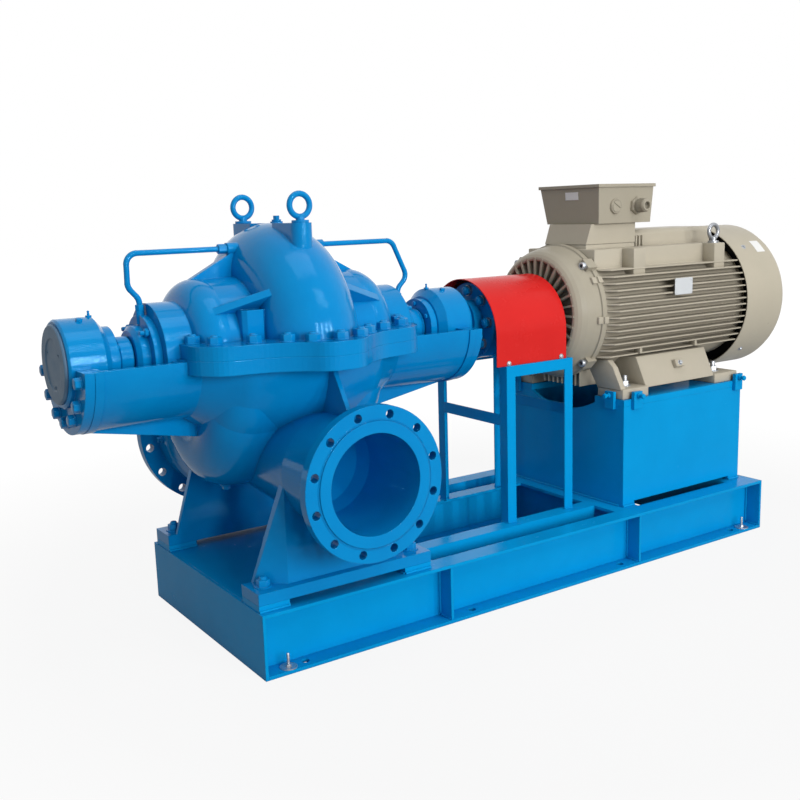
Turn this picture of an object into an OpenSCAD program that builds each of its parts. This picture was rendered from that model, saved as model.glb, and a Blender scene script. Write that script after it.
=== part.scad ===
// Split case pump set: double suction pump, coupling, motor and common baseplate.
// Millimetres, +Z up, +X along the shaft from the pump towards the motor.
// The origin is the centre of the baseplate underside.

/* [Baseplate] */
// Length of the baseplate along the shaft
base_length = 2266; // [2255:1:2400]
// Width of the baseplate over the channel flanges
base_width = 850; // [830:5:900]
// Depth of the baseplate channels
channel_h = 200; // [160:5:220]
// Width of a channel flange
channel_flange_w = 75; // [65:1:85]
// Thickness of a channel web
channel_web_t = 9; // [6:1:14]
// Thickness of a channel flange
channel_flange_t = 11; // [8:1:16]
// Thickness of the two end plates
end_plate_t = 10; // [6:1:16]
// Length of the deck plate under the pump
deck_length = 655; // [645:5:700]
// Thickness of the deck plate
deck_t = 12; // [8:1:20]
// Thickness of the stiffener plates in the channels
stiffener_t = 10; // [6:1:16]
// Diameter of an anchor bolt hole
anchor_hole_d = 26; // [18:1:30]
// Distance from a baseplate end to the nearest anchor holes
anchor_end_inset = 148; // [120:1:200]
// Distance from the middle to the inner anchor holes
anchor_mid_x = 350; // [250:5:400]
// Distance from a flange edge to the anchor holes
anchor_edge = 34; // [28:1:40]
// Depth of the two inner beams
inner_beam_h = 160; // [120:5:160]
// Flange width of the two inner beams
inner_beam_w = 65; // [50:1:80]
// Distance of the inner beam webs from the centre line
inner_beam_y = 245; // [235:1:260]

/* [Pump casing] */
// Distance from the left end of the baseplate to the middle of the pump
pump_inset = 308; // [306:1:340]
// Height of the shaft above the ground
shaft_z = 925; // [900:5:960]
// Height of the nozzle centres below the shaft
nozzle_drop = 360; // [350:5:380]
// Distance from the shaft to each nozzle face
nozzle_reach = 575; // [560:5:620]
// Outside radius of the volute hump
hump_r = 377; // [360:1:390]
// Half width of the volute hump, which is also the radius of its round back
hump_half_w = 150; // [130:1:165]
// Radius of the upper suction chambers
chamber_r = 217; // [205:1:230]
// Half length over the upper suction chambers
chamber_half_l = 345; // [335:1:360]
// Rounding of the upper suction chambers
chamber_round = 75; // [50:1:90]
// Radius of the suction lobes below the shaft
lobe_r = 292; // [280:1:305]
// Distance from the pump middle to a suction lobe
lobe_x = 172; // [160:1:185]
// Rounding of a suction lobe
lobe_round = 122; // [105:1:130]
// Radius of the volute below the shaft
volute_r = 350; // [335:1:365]
// Rounding of the volute below the shaft
volute_round = 100; // [85:1:110]
// Radius of the suction belly below the lobes
belly_r = 295; // [285:1:300]
// Rounding of the suction belly
belly_round = 130; // [115:1:136]
// Distance of the suction belly behind the shaft
belly_y = 80; // [60:1:85]
// Depth of the suction belly centre below the shaft
belly_drop = 165; // [150:1:175]
// Radius of the seal housings
seal_r = 155; // [140:1:165]
// Half length over the seal housings
seal_half_l = 430; // [420:1:440]
// Thickness of each parting flange
parting_t = 42; // [30:1:55]
// Half length of the parting flange
parting_half_l = 390; // [380:1:410]
// Half width of the parting flange over its middle lobes
parting_half_w = 452; // [440:1:470]
// Reach of the rounding at the corners of the parting flange
parting_round = 38; // [20:1:40]
// Thickness of the stiffening ribs
rib_t = 24; // [16:1:32]
// Thickness of the rib above the discharge neck
neck_rib_t = 15; // [10:1:24]
// Width of the two jacking bosses of the upper casing
cap_boss_w = 76; // [60:1:80]
// Height of the two jacking bosses above the shaft
cap_boss_rise = 130; // [110:1:140]
// Angle of the side gussets from the top
gusset_angle = 53; // [45:1:60]
// Distance of a lifting eye from the shaft
eye_y = 197; // [180:1:210]
// Distance of the vent plug from the pump middle
vent_x = 22; // [0:1:40]

/* [Nozzle flanges] */
// Bore of the discharge nozzle
discharge_bore_d = 300; // [250:5:310]
// Diameter of the discharge flange
discharge_flange_d = 460; // [450:5:480]
// Distance from the edge of the discharge flange to its bolt circle
discharge_edge = 25; // [20:1:30]
// Bolt hole diameter of the discharge flange
discharge_hole_d = 26; // [20:1:28]
// Number of bolt holes in the discharge flange
discharge_holes = 12; // [8:4:16]
// Thickness of the discharge flange
discharge_flange_t = 32; // [24:1:40]
// Bore of the suction nozzle
suction_bore_d = 400; // [360:5:410]
// Diameter of the suction flange
suction_flange_d = 580; // [575:5:595]
// Distance from the edge of the suction flange to its bolt circle
suction_edge = 27.5; // [22:0.5:32]
// Bolt hole diameter of the suction flange
suction_hole_d = 30; // [24:1:32]
// Number of bolt holes in the suction flange
suction_holes = 16; // [12:4:20]
// Thickness of the suction flange
suction_flange_t = 38; // [28:1:45]
// Height of the raised faces
raised_h = 3; // [2:1:5]
// Wall of the nozzle necks
nozzle_wall = 26; // [18:1:30]
// Taper of the discharge neck towards the volute
neck_taper = 26; // [12:1:30]
// Depth of the straight suction bore
suction_depth = 105; // [80:5:115]
// Rise of the suction passage from the neck to the belly, in degrees
suction_rise = 18; // [14:1:20]

/* [Pump feet and arms] */
// Half length of the pump feet
foot_half_l = 305; // [300:1:320]
// Outer edge of the feet from the centre line
foot_outer_y = 400; // [395:1:412]
// Width of a foot
foot_w = 112; // [100:1:125]
// Thickness of a foot
foot_t = 36; // [25:1:45]
// Length of a foot pad
pad_l = 100; // [80:1:120]
// Thickness of a foot pad
pad_t = 20; // [12:1:30]
// Distance from the pump middle to a bearing joint
arm_reach = 658; // [650:1:680]
// Outside radius of a bearing arm
arm_r = 203; // [190:1:215]
// Wall of a bearing arm
arm_wall = 24; // [16:1:32]
// Outside radius of an arm end flange
arm_flange_r = 208; // [205:1:225]
// Thickness of an arm end flange
arm_flange_t = 26; // [18:1:34]

/* [Bearings and seals] */
// Outside radius of a bearing housing
bearing_r = 129; // [115:1:135]
// Length of a bearing housing inside its arm
bearing_inner_l = 83; // [70:1:95]
// Length of a bearing housing beyond the joint
bearing_outer_l = 46; // [40:1:52]
// Thickness of a bearing housing flange
bearing_flange_t = 28; // [20:1:36]
// Thickness of a bearing end cover
bearing_cover_t = 9; // [6:1:14]
// Radius of a bearing end cover
bearing_cover_r = 116; // [100:1:122]
// Radius of a bearing inner cover
inner_cover_r = 97; // [90:1:112]
// Thickness of a bearing inner cover
inner_cover_t = 26; // [16:1:34]
// Radius of a seal gland
gland_r = 92; // [80:1:105]
// Length of a seal gland
gland_l = 62; // [52:1:70]
// Outside diameter of a flush pipe
pipe_d = 17; // [12:1:22]
// Height of the flush pipe runs above the shaft
pipe_rise = 303; // [295:1:315]
// Bend radius of a flush pipe
pipe_bend = 34; // [28:1:38]

/* [Shaft and coupling] */
// Radius of the pump shaft with its sleeves
shaft_r = 50; // [40:1:55]
// Running clearance round the shafts
running_gap = 0.3; // [0.1:0.1:0.5]
// Outside radius of the coupling
coupling_r = 140; // [125:1:150]
// Thickness of a coupling disc
coupling_disc_t = 58; // [45:1:65]
// Gap between the coupling discs
coupling_gap = 4; // [3:1:8]
// Radius of the coupling hubs
hub_r = 78; // [65:1:85]
// Distance from the pump middle to the coupling
coupling_start = 792; // [785:1:800]
// Bolt circle radius of the coupling pins
pin_circle_r = 110; // [102:1:116]
// Radius of a coupling pin
pin_r = 12; // [8:1:14]
// Number of coupling pins
pins = 8; // [4:1:10]
// Radius of the motor shaft
motor_shaft_r = 42; // [32:1:48]

/* [Coupling guard] */
// Half width of the guard hood
hood_half_w = 197; // [180:1:200]
// Length of the guard hood
hood_l = 330; // [300:5:335]
// Sheet thickness of the guard hood
hood_t = 3; // [2:0.5:5]
// Height of the hood crown above the shaft
hood_rise = 153; // [150:1:175]
// Reach of the hood over the pump half of the coupling
hood_lead = 35; // [10:1:45]
// Depth of the hood foot below the shaft
hood_drop = 150; // [140:1:165]
// Leg width of the guard angle bars
angle_w = 40; // [30:1:50]
// Thickness of the guard angle bars
angle_t = 5; // [3:1:8]
// Half width of the guard stand
stand_half_w = 207; // [205:1:215]
// Length of the guard stand
stand_l = 318; // [300:1:322]
// Depth of the guard cross bars below the shaft
brace_drop = 328; // [300:1:360]

/* [Motor pedestal] */
// Length of the pedestal
pedestal_l = 675; // [670:1:685]
// Half width of the pedestal
pedestal_half_w = 330; // [322:1:338]
// Thickness of the pedestal plates
pedestal_t = 14; // [10:1:20]
// Height of the slot below the side plates
pedestal_slot_h = 15; // [8:1:25]
// Length of the pedestal end feet
pedestal_foot_l = 62; // [50:1:75]
// Thickness of the top rails
rail_t = 25; // [16:1:32]
// Width of the top rails
rail_w = 150; // [130:1:170]
// Width of the cross beams
cross_beam_w = 125; // [115:1:140]
// Width of a jacking lug
lug_w = 44; // [30:1:55]
// Thickness of a jacking lug
lug_t = 14; // [8:1:20]
// Height of a jacking lug
lug_h = 66; // [50:1:80]
// Distance from the pedestal edge to the end lugs
lug_inset = 40; // [30:1:60]
// Distance from the far pedestal edge to the last side lug
lug_end_gap = 6; // [4:1:30]
// Gap between the end of a motor foot and the end of its rail
foot_end_gap = 8; // [4:1:12]

/* [Motor] */
// Distance from the pump middle to the motor drive end face
motor_start = 1102; // [1098:1:1110]
// Shaft height of the motor above its feet
motor_h = 315; // [305:1:325]
// Radius of the motor frame
frame_r = 250; // [240:1:255]
// Length of the drive end shield
shield_l = 135; // [120:1:140]
// Radius of the drive end shield at its joint
shield_r = 258; // [254:1:264]
// Number of ribs between the vents of the drive end shield
shield_ribs = 32; // [20:2:36]
// Length of the finned frame
frame_l = 759; // [750:1:770]
// Half width over the fin tips
fin_half_w = 295; // [285:1:298]
// Number of fins on each side
fins = 14; // [10:2:16]
// Pitch of the fins
fin_pitch = 25; // [22:1:26]
// Thickness of a fin
fin_t = 6; // [4:0.5:8]
// Number of fins below the frame
bottom_fins = 9; // [5:2:11]
// Height of the fins below the frame
bottom_fin_h = 40; // [30:1:45]
// Distance from the frame end to the fins below it
fin_setback = 10; // [5:1:15]
// Half width of the flat saddle on top of the frame
saddle_half_w = 185; // [170:1:195]
// Height of the saddle above the shaft
saddle_rise = 238; // [225:1:248]
// Length of the saddle
saddle_l = 698; // [680:1:710]
// Half width of the ridge on the saddle
ridge_half_w = 110; // [95:1:125]
// Height of the ridge above the shaft
ridge_rise = 302; // [280:1:308]
// Width of a lifting boss
boss_w = 64; // [50:1:75]
// Distance from the centre line to the face of a lifting boss
boss_face = 245; // [230:1:255]
// Depth of a lifting boss
boss_depth = 90; // [80:1:100]
// Distance from the frame end to the first lifting boss
boss_start = 150; // [120:1:180]
// Distance between the two lifting bosses
boss_pitch = 462; // [430:1:480]
// Length of the motor feet
motor_foot_l = 659; // [645:1:665]
// Half width over the motor feet
motor_foot_half_w = 317; // [310:1:322]
// Thickness of the motor feet
motor_foot_t = 38; // [28:1:48]
// Length of a pad at the end of a motor foot
motor_pad_l = 138; // [120:1:160]
// Thickness of the end rib of a motor foot
foot_rib_t = 26; // [20:1:32]
// Radius of the fan cowl
cowl_r = 300; // [298:1:310]
// Length of the fan cowl
cowl_l = 246; // [235:1:260]
// Rounding of the fan cowl rim
cowl_round = 22; // [14:1:34]
// Sheet thickness of the fan cowl
cowl_t = 3; // [2:0.5:5]
// Radius of the motor fan
fan_r = 190; // [170:1:210]
// Width of the motor fan blades
fan_w = 66; // [50:1:75]
// Length of the terminal box
box_l = 295; // [270:1:300]
// Half width of the terminal box
box_half_w = 160; // [150:1:175]
// Height of the terminal box
box_h = 135; // [115:1:145]
// Draft of the terminal box from lid to foot
box_draft = 8; // [4:1:12]
// Draft of the back of the terminal box
box_back_draft = 30; // [8:1:36]
// Thickness of the terminal box lid
lid_t = 12; // [8:1:18]
// Height of the terminal box neck
neck_h = 76; // [65:1:85]
// Length of the terminal box neck
neck_l = 237; // [220:1:245]
// Distance from the centre line to the front of the terminal box neck
neck_front = 130; // [115:1:140]
// Distance from the centre line to the back of the terminal box neck
neck_back = 97; // [80:1:130]
// Splay of the neck towards the drive end
neck_splay = 27; // [10:1:30]
// Height of the neck seat above the shaft
neck_seat = 255; // [252:1:265]

/* [Hidden] */
$fn = 96;
top_z = channel_h;
half_l = base_length / 2;
channel_back = base_width / 2 - channel_flange_w;
deck_end = -half_l + deck_length;
px = -half_l + pump_inset;
nozzle_z = shaft_z - nozzle_drop;
foot_z = top_z + pad_t;
discharge_r = discharge_bore_d / 2;
suction_r = suction_bore_d / 2;
joint_z = shaft_z - 5;
housing_out = arm_reach + bearing_outer_l;
cover_out = housing_out + bearing_cover_t;
housing_in = arm_reach - bearing_inner_l;
gland_out = seal_half_l + gland_l;
gland_flange_r = gland_r + 30;
sink = 0.5;
shoulder_drop = 100;
cap_boss_x = 221;
cap_boss_y = 232;
bend_swell = 0.4;
bend_lap = 3;
gland_flange_t = 24;
pipe_start = hump_half_w + 8;
pipe_foot_left = seal_half_l + gland_flange_t - 8;
pipe_foot_right = gland_out - 14;
left_corner_x = 476;
left_knee_rise = 205;
right_corner_x = 458;
right_knee_rise = 178;
foot_rise_left = gland_flange_r + 12;
foot_rise_right = gland_r + 12;
eye_boss_z = shaft_z + hump_r - 1;
discharge_pcd = discharge_flange_d - 2 * discharge_edge;
suction_pcd = suction_flange_d - 2 * suction_edge;
neck_r = discharge_r + nozzle_wall;
suction_neck_r = suction_r + nozzle_wall;
hub_l = 38;
coupling_x = px + coupling_start;
motor_half_x = coupling_x + coupling_disc_t + coupling_gap;
motor_hub_l = 76;
motor_x = px + motor_start;
frame_x = motor_x + shield_l;
foot_plane = shaft_z - motor_h;
cowl_x = frame_x + frame_l;
stand_x = coupling_x;
hood_x = coupling_x - hood_lead;
hood_z0 = shaft_z - hood_drop;
ped_x = frame_x + 15;
ped_top = foot_plane - rail_t;
cross_x0 = ped_x + pedestal_foot_l - cross_beam_w;
cross_x1 = half_l - end_plate_t - cross_beam_w;
rail_l = motor_foot_l + 2 * foot_end_gap;
neck_x = frame_x + neck_splay + 14;
box_x = neck_x + 9;
pad_z = shaft_z + neck_seat;
box_z = pad_z + neck_h;
lid_z = box_z + box_h;
boss_x = [frame_x + boss_start, frame_x + boss_start + boss_pitch];

BLUE = [0.05, 0.45, 0.75];
GREY = [0.68, 0.66, 0.61];
RED = [0.85, 0.13, 0.15];
STEEL = [0.6, 0.6, 0.62];

// Profile drawn as [y, z], pushed along the shaft
module prism_x(x, len) {
  translate([x, 0, 0])
    rotate([90, 0, 90])
      linear_extrude(len)
        children();
}

// Profile drawn as [x, z], with its thickness centred on y
module prism_y(y, t) {
  translate([0, y + t / 2, 0])
    rotate([90, 0, 0])
      linear_extrude(t)
        children();
}

// Turned shape on the shaft line, its profile drawn as [radius, x]
module turned_shape(x) {
  translate([x, 0, shaft_z])
    rotate([0, 90, 0])
      rotate_extrude()
        children();
}

// Turned shape on the shaft line from a list of [radius, x]
module turned(x, points) {
  turned_shape(x)
    polygon(points);
}

// Turned shape on the nozzle line from a list of [radius, distance from the shaft]
module turned_nozzle(side, points) {
  translate([px, 0, nozzle_z])
    rotate([side * -90, 0, 0])
      rotate_extrude()
        polygon(points);
}

// Round bar on the shaft line
module bar_x(x, len, r) {
  translate([x, 0, shaft_z])
    rotate([0, 90, 0])
      cylinder(h = len, r = r);
}

// Round bar across the shaft, from y0 to y1
module bar_y(x, z, y0, y1, r) {
  translate([x, y1, z])
    rotate([90, 0, 0])
      cylinder(h = y1 - y0, r = r);
}

// A box given by its two corners
module block(a, b) {
  translate(a)
    cube([b[0] - a[0], b[1] - a[1], b[2] - a[2]]);
}

// The same shape on both sides of the shaft
module both_sides() {
  children();
  mirror([0, 1, 0])
    children();
}

// The same shape on both ends of the pump
module both_ends() {
  children();
  translate([px, 0, 0])
    mirror([1, 0, 0])
      translate([-px, 0, 0])
        children();
}

// Outer channel, flanges pointing away from the centre line
module side_channel() {
  difference() {
    prism_x(-half_l + end_plate_t, base_length - 2 * end_plate_t)
      polygon([
        [-base_width / 2, 0],
        [-channel_back, 0],
        [-channel_back, channel_h],
        [-base_width / 2, channel_h],
        [-base_width / 2, channel_h - channel_flange_t],
        [-channel_back - channel_web_t, channel_h - channel_flange_t],
        [-channel_back - channel_web_t, channel_flange_t],
        [-base_width / 2, channel_flange_t]
      ]);
    for (x = [-half_l + anchor_end_inset, -anchor_mid_x, anchor_mid_x, half_l - anchor_end_inset])
      translate([x, -base_width / 2 + anchor_edge, -1])
        cylinder(h = channel_flange_t + 2, d = anchor_hole_d);
  }
}

module base_front_channel() {
  color(BLUE)
    side_channel();
}

module base_rear_channel() {
  color(BLUE)
    mirror([0, 1, 0])
      side_channel();
}

module base_end_plates() {
  color(BLUE)
    for (x = [-half_l, half_l - end_plate_t])
      translate([x, -base_width / 2, 0])
        cube([end_plate_t, base_width, channel_h]);
}

module base_deck_plate() {
  color(BLUE)
    block([-half_l + end_plate_t, -channel_back, top_z - deck_t], [deck_end, channel_back, top_z]);
}

// Inner beams carry the guard stand, with their webs facing outwards
module base_inner_beams() {
  color(BLUE)
    both_sides()
      prism_x(deck_end, cross_x0 - deck_end)
        polygon([
          [-inner_beam_y, top_z - inner_beam_h],
          [-inner_beam_y + inner_beam_w, top_z - inner_beam_h],
          [-inner_beam_y + inner_beam_w, top_z - inner_beam_h + 10],
          [-inner_beam_y + 8, top_z - inner_beam_h + 10],
          [-inner_beam_y + 8, top_z - 10],
          [-inner_beam_y + inner_beam_w, top_z - 10],
          [-inner_beam_y + inner_beam_w, top_z],
          [-inner_beam_y, top_z]
        ]);
}

module cross_beam(x) {
  w = cross_beam_w;
  prism_y(0, 2 * channel_back)
    polygon([
      [x, 0], [x + w, 0], [x + w, 12], [x + w / 2 + 5, 12],
      [x + w / 2 + 5, top_z - 12], [x + w, top_z - 12], [x + w, top_z],
      [x, top_z], [x, top_z - 12], [x + w / 2 - 5, top_z - 12],
      [x + w / 2 - 5, 12], [x, 12]
    ]);
}

// The right beam is a channel that closes against the end plate
module right_beam() {
  x1 = cross_x1 + cross_beam_w;
  prism_y(0, 2 * channel_back)
    polygon([
      [cross_x1, 0], [x1, 0], [x1, 12], [cross_x1 + 14, 12],
      [cross_x1 + 14, top_z - 12], [x1, top_z - 12], [x1, top_z], [cross_x1, top_z]
    ]);
}

module base_cross_beams() {
  color(BLUE) {
    cross_beam(cross_x0);
    right_beam();
  }
}

module base_stiffeners() {
  color(BLUE)
    both_sides()
      for (x = [deck_end + 20, ped_x - 8])
        block([x, -base_width / 2 + 3, channel_flange_t],
          [x + stiffener_t, -channel_back - channel_web_t, channel_h - channel_flange_t]);
}

module pump_foot_pads() {
  color(BLUE)
    both_sides()
      both_ends()
        block([px - foot_half_l, -foot_outer_y, top_z],
          [px - foot_half_l + pad_l, -foot_outer_y + foot_w, foot_z]);
}

// Corner b of an outline between the points a and c, drawn as a curve that starts a reach away
function soft_corner(a, b, c, reach) =
  let (u = (a - b) / norm(a - b), v = (c - b) / norm(c - b))
  [for (t = [0 : 0.2 : 1]) b + reach * ((1 - t) * (1 - t) * u + t * t * v)];

// Plan of the parting flange, one quarter listed and the rest mirrored
module parting_plan() {
  a = parting_half_l;
  b = parting_half_w;
  quarter = [[56, b], [112, b - 64], [190, b - 114], [a - 54, b - 141], [a, b - 212]];
  last = len(quarter) - 1;
  outline = concat(
    quarter,
    [for (i = [last : -1 : 0]) [quarter[i][0], -quarter[i][1]]],
    [for (i = [0 : last]) [-quarter[i][0], -quarter[i][1]]],
    [for (i = [last : -1 : 0]) [-quarter[i][0], quarter[i][1]]]
  );
  n = len(outline);
  translate([px, 0])
    polygon([
      for (i = [0 : n - 1])
        each soft_corner(outline[(i + n - 1) % n], outline[i], outline[(i + 1) % n], parting_round)
    ]);
}

// Turned body of the upper casing: seals, round suction chambers and volute hump
module upper_body() {
  s = seal_half_l;
  e = chamber_half_l - chamber_round;
  turned_shape(px)
    union() {
      polygon([
        [0, -s], [seal_r, -s], [seal_r, -e], [chamber_r - 3, -e], [chamber_r + 5, -hump_half_w / 2],
        [chamber_r + 5, hump_half_w / 2], [chamber_r - 3, e], [seal_r, e], [seal_r, s], [0, s]
      ]);
      for (x = [-e, e])
        translate([chamber_r - chamber_round, x])
          circle(r = chamber_round);
      translate([hump_r - hump_half_w, 0])
        circle(r = hump_half_w);
    }
}

// Outer tangent of two circles in a profile of [radius, x], as the two points where it touches
function tangent(c1, r1, c2, r2) =
  let (d = c2 - c1, a = atan2(d[0], d[1]) + acos((r1 - r2) / norm(d)), n = [sin(a), cos(a)])
  [c1 + r1 * n, c2 + r2 * n];

// Turned body of the lower casing: seals, and two suction lobes that run smoothly into the
// volute between them and into the arms
module lower_body() {
  s = seal_half_l;
  core = arm_r - 11;
  lobe = [lobe_r - lobe_round, -lobe_x];
  volute = [volute_r - volute_round, 0];
  left = concat(
    [[0, -s], [seal_r, -s], [seal_r, -s + 28], [core, -s + 40]],
    tangent([core, -lobe_x - 190], 0, lobe, lobe_round - sink),
    tangent(lobe, lobe_round - sink, volute, volute_round - sink)
  );
  turned_shape(px)
    union() {
      polygon(concat(left, [for (i = [len(left) - 1 : -1 : 0]) [left[i][0], -left[i][1]]]));
      for (x = [-lobe_x, lobe_x])
        translate([lobe_r - lobe_round, x])
          circle(r = lobe_round);
      translate(volute)
        circle(r = volute_round);
    }
}

// Suction belly: the lobes carried on downwards and back towards the suction neck. The share
// goes from 0 at the shaft to 1 at the belly. A sloped shoulder ends it below the flange.
module belly(share) {
  r = lobe_r + share * (belly_r - lobe_r);
  round = lobe_round + share * (belly_round - lobe_round);
  z = shaft_z - shoulder_drop;
  difference() {
    translate([px, share * belly_y, shaft_z - share * belly_drop])
      rotate([0, 90, 0])
        rotate_extrude()
          union() {
            translate([0, -lobe_x])
              square([r - sink, 2 * lobe_x]);
            for (x = [-lobe_x, lobe_x])
              translate([r - round, x])
                circle(r = round);
          }
    prism_x(px - arm_reach, 2 * arm_reach)
      polygon([
        [-nozzle_reach, z], [lobe_r - 50, z], [nozzle_reach, z - 200],
        [nozzle_reach, shaft_z + hump_r], [-nozzle_reach, shaft_z + hump_r]
      ]);
  }
}

// Leg and foot below one nozzle, drawn on the front side, narrower towards the outside
module leg() {
  y0 = -foot_outer_y;
  y1 = -foot_outer_y + foot_w;
  z1 = foot_z + foot_t;
  block([px - foot_half_l, y0, foot_z], [px + foot_half_l, y1, z1]);
  hull() {
    block([px - foot_half_l + 32, y1 - 14, z1 - 1], [px + foot_half_l - 32, y1, z1]);
    block([px - foot_half_l + 112, y0 + 28, z1 - 1], [px + foot_half_l - 112, y0 + 40, z1]);
    block([px - neck_r + 4, y1 - 45, nozzle_z - 30], [px + neck_r - 4, y1 - 18, nozzle_z - 20]);
  }
}

// Half pipe arm with its end flange, drawn on the left end
module arm() {
  x0 = px - arm_reach;
  difference() {
    union() {
      bar_x(x0 + arm_flange_t - 1, arm_reach - arm_flange_t - lobe_x - 78, arm_r);
      bar_x(x0, arm_flange_t, arm_flange_r);
    }
    bar_x(x0 + arm_flange_t, arm_reach - arm_flange_t - seal_half_l + 12, arm_r - arm_wall);
    bar_x(x0 - 1, arm_flange_t + 2, bearing_r + running_gap);
    block([x0 - 2, -400, joint_z], [px - 300, 400, shaft_z + 400]);
  }
  prism_y(0, rib_t)
    polygon([
      [x0 + arm_flange_t, shaft_z - arm_r + 6], [x0 + arm_flange_t, shaft_z - arm_r - 6],
      [px - 190, shaft_z - 288], [px - 190, shaft_z - arm_r + 6]
    ]);
}

// Bolt holes of one nozzle flange
module flange_holes(y0, y1, count, circle_d, hole_d) {
  for (i = [0 : count - 1])
    bar_y(px + circle_d / 2 * sin((i + 0.5) * 360 / count),
      nozzle_z + circle_d / 2 * cos((i + 0.5) * 360 / count), y0, y1, hole_d / 2);
}

// Discharge neck with its flange and raised face, in front
module discharge_nozzle() {
  f = nozzle_reach - raised_h;
  turned_nozzle(-1, [
    [0, -60], [neck_r - neck_taper, -60], [neck_r, nozzle_reach - 245],
    [neck_r, f - discharge_flange_t], [discharge_flange_d / 2, f - discharge_flange_t],
    [discharge_flange_d / 2, f], [discharge_pcd / 2 - discharge_hole_d / 2 - 7, f],
    [discharge_pcd / 2 - discharge_hole_d / 2 - 7, nozzle_reach], [0, nozzle_reach]
  ]);
}

// Suction neck, with the passage that rises from it into the belly
module suction_nozzle() {
  f = nozzle_reach - raised_h;
  translate([px, nozzle_reach - suction_depth, nozzle_z])
    rotate([90 - suction_rise, 0, 0])
      cylinder(h = 380, r1 = suction_neck_r - 2, r2 = suction_neck_r - 8);
  turned_nozzle(1, [
    [0, nozzle_reach - 230], [suction_neck_r - 50, nozzle_reach - 230],
    [suction_neck_r, nozzle_reach - suction_depth - 15],
    [suction_neck_r, f - suction_flange_t], [suction_flange_d / 2, f - suction_flange_t],
    [suction_flange_d / 2, f], [suction_pcd / 2 - suction_hole_d / 2 - 7, f],
    [suction_pcd / 2 - suction_hole_d / 2 - 7, nozzle_reach], [0, nozzle_reach]
  ]);
}

module lower_solid() {
  translate([0, 0, shaft_z - parting_t])
    linear_extrude(parting_t + 5)
      parting_plan();
  lower_body();
  belly(0.5);
  belly(1);
  discharge_nozzle();
  suction_nozzle();
  both_sides()
    leg();
  both_ends()
    arm();
  // Rib from the parting flange down to the discharge neck
  prism_x(px - neck_rib_t / 2, neck_rib_t)
    polygon([
      [-volute_r + 90, shaft_z - 20], [-parting_half_w + 107, shaft_z - 20],
      [-parting_half_w - 8, nozzle_z + neck_r - 16], [-volute_r + 90, nozzle_z + neck_r - 16]
    ]);
}

module lower_casing() {
  suction_end = nozzle_reach - suction_depth - 165;
  color(BLUE)
    difference() {
      lower_solid();
      block([px - 900, -700, shaft_z], [px + 900, 700, shaft_z + 600]);
      bar_x(px - seal_half_l - 5, 2 * seal_half_l + 10, shaft_r + running_gap);
      turned_nozzle(-1, [
        [0, nozzle_reach + 1], [discharge_r, nozzle_reach + 1], [discharge_r, nozzle_reach - 275],
        [discharge_r - 14, nozzle_reach - 330], [discharge_r - 55, nozzle_reach - 380],
        [discharge_r - 120, nozzle_reach - 400], [0, nozzle_reach - 400]
      ]);
      turned_nozzle(1, [
        [0, nozzle_reach + 1], [suction_r, nozzle_reach + 1], [suction_r, nozzle_reach - suction_depth],
        [suction_r - 20, suction_end + 105], [suction_r - 60, suction_end + 40],
        [suction_r - 130, suction_end], [0, suction_end]
      ]);
      flange_holes(-nozzle_reach - 1, -nozzle_reach + discharge_flange_t + raised_h + 1,
        discharge_holes, discharge_pcd, discharge_hole_d);
      flange_holes(nozzle_reach - suction_flange_t - raised_h - 1, nozzle_reach + 1,
        suction_holes, suction_pcd, suction_hole_d);
    }
}

// Gusset between the hump and a suction chamber, turned about the shaft
module gusset(angle, r1) {
  x0 = px - hump_half_w + 50;
  x1 = px - chamber_half_l + 45;
  r0 = chamber_r - 9;
  translate([0, 0, shaft_z])
    rotate([angle, 0, 0])
      prism_y(0, rib_t)
        polygon([[x0, r1], [x1, r0], [x1, r0 - 60], [x0, r0 - 60]]);
}

// Boss for a lifting eye, drawn on the front side
module eye_boss() {
  translate([px, 0, shaft_z + hump_r - 170])
    linear_extrude(169)
      union() {
        translate([0, -eye_y])
          circle(r = 34);
        translate([-34, -eye_y])
          square([68, 120]);
      }
}

// Jacking boss standing on the parting flange against a suction chamber, in front on the left
module cap_boss() {
  w = cap_boss_w;
  translate([px - cap_boss_x, -cap_boss_y, shaft_z])
    linear_extrude(cap_boss_rise)
      polygon([[12, 0], [w - 12, 0], [w, 12], [w, w + 14], [0, w + 14], [0, 12]]);
}

module upper_casing() {
  color(BLUE)
    difference() {
      union() {
        translate([0, 0, shaft_z - 5])
          linear_extrude(parting_t + 5)
            parting_plan();
        upper_body();
        both_ends() {
          gusset(0, hump_r - 62);
          gusset(gusset_angle, hump_r - 62);
          gusset(-gusset_angle, hump_r - 62);
        }
        both_sides()
          eye_boss();
        for (x = [px - pipe_start, px + hump_half_w - 30])
          translate([x, 0, shaft_z + pipe_rise])
            rotate([0, 90, 0])
              cylinder(h = pipe_start - hump_half_w + 30, r = 18);
        translate([px + vent_x, 0, shaft_z + hump_r - 20])
          cylinder(h = 24, r = 20);
        cap_boss();
        translate([px, 0, 0])
          rotate([0, 0, 180])
            translate([-px, 0, 0])
              cap_boss();
      }
      block([px - 900, -700, shaft_z - 900], [px + 900, 700, shaft_z]);
      bar_x(px - seal_half_l - 5, 2 * seal_half_l + 10, shaft_r + running_gap);
    }
}

// Bearing housing drum with the lower half flange bolted to the arm, drawn on the left end
module housing() {
  difference() {
    union() {
      turned(px, [
        [0, -housing_out], [bearing_r - 6, -housing_out], [bearing_r, -housing_out + 6],
        [bearing_r, -housing_in - 22], [inner_cover_r + 6, -housing_in], [0, -housing_in]
      ]);
      difference() {
        bar_x(px - arm_reach - bearing_flange_t, bearing_flange_t, arm_flange_r - 2);
        block([px - arm_reach - 50, -400, joint_z], [px - arm_reach + 50, 400, shaft_z + 400]);
      }
    }
    bar_x(px - housing_out - 1, housing_out - housing_in + 2, shaft_r + running_gap);
  }
}

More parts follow.
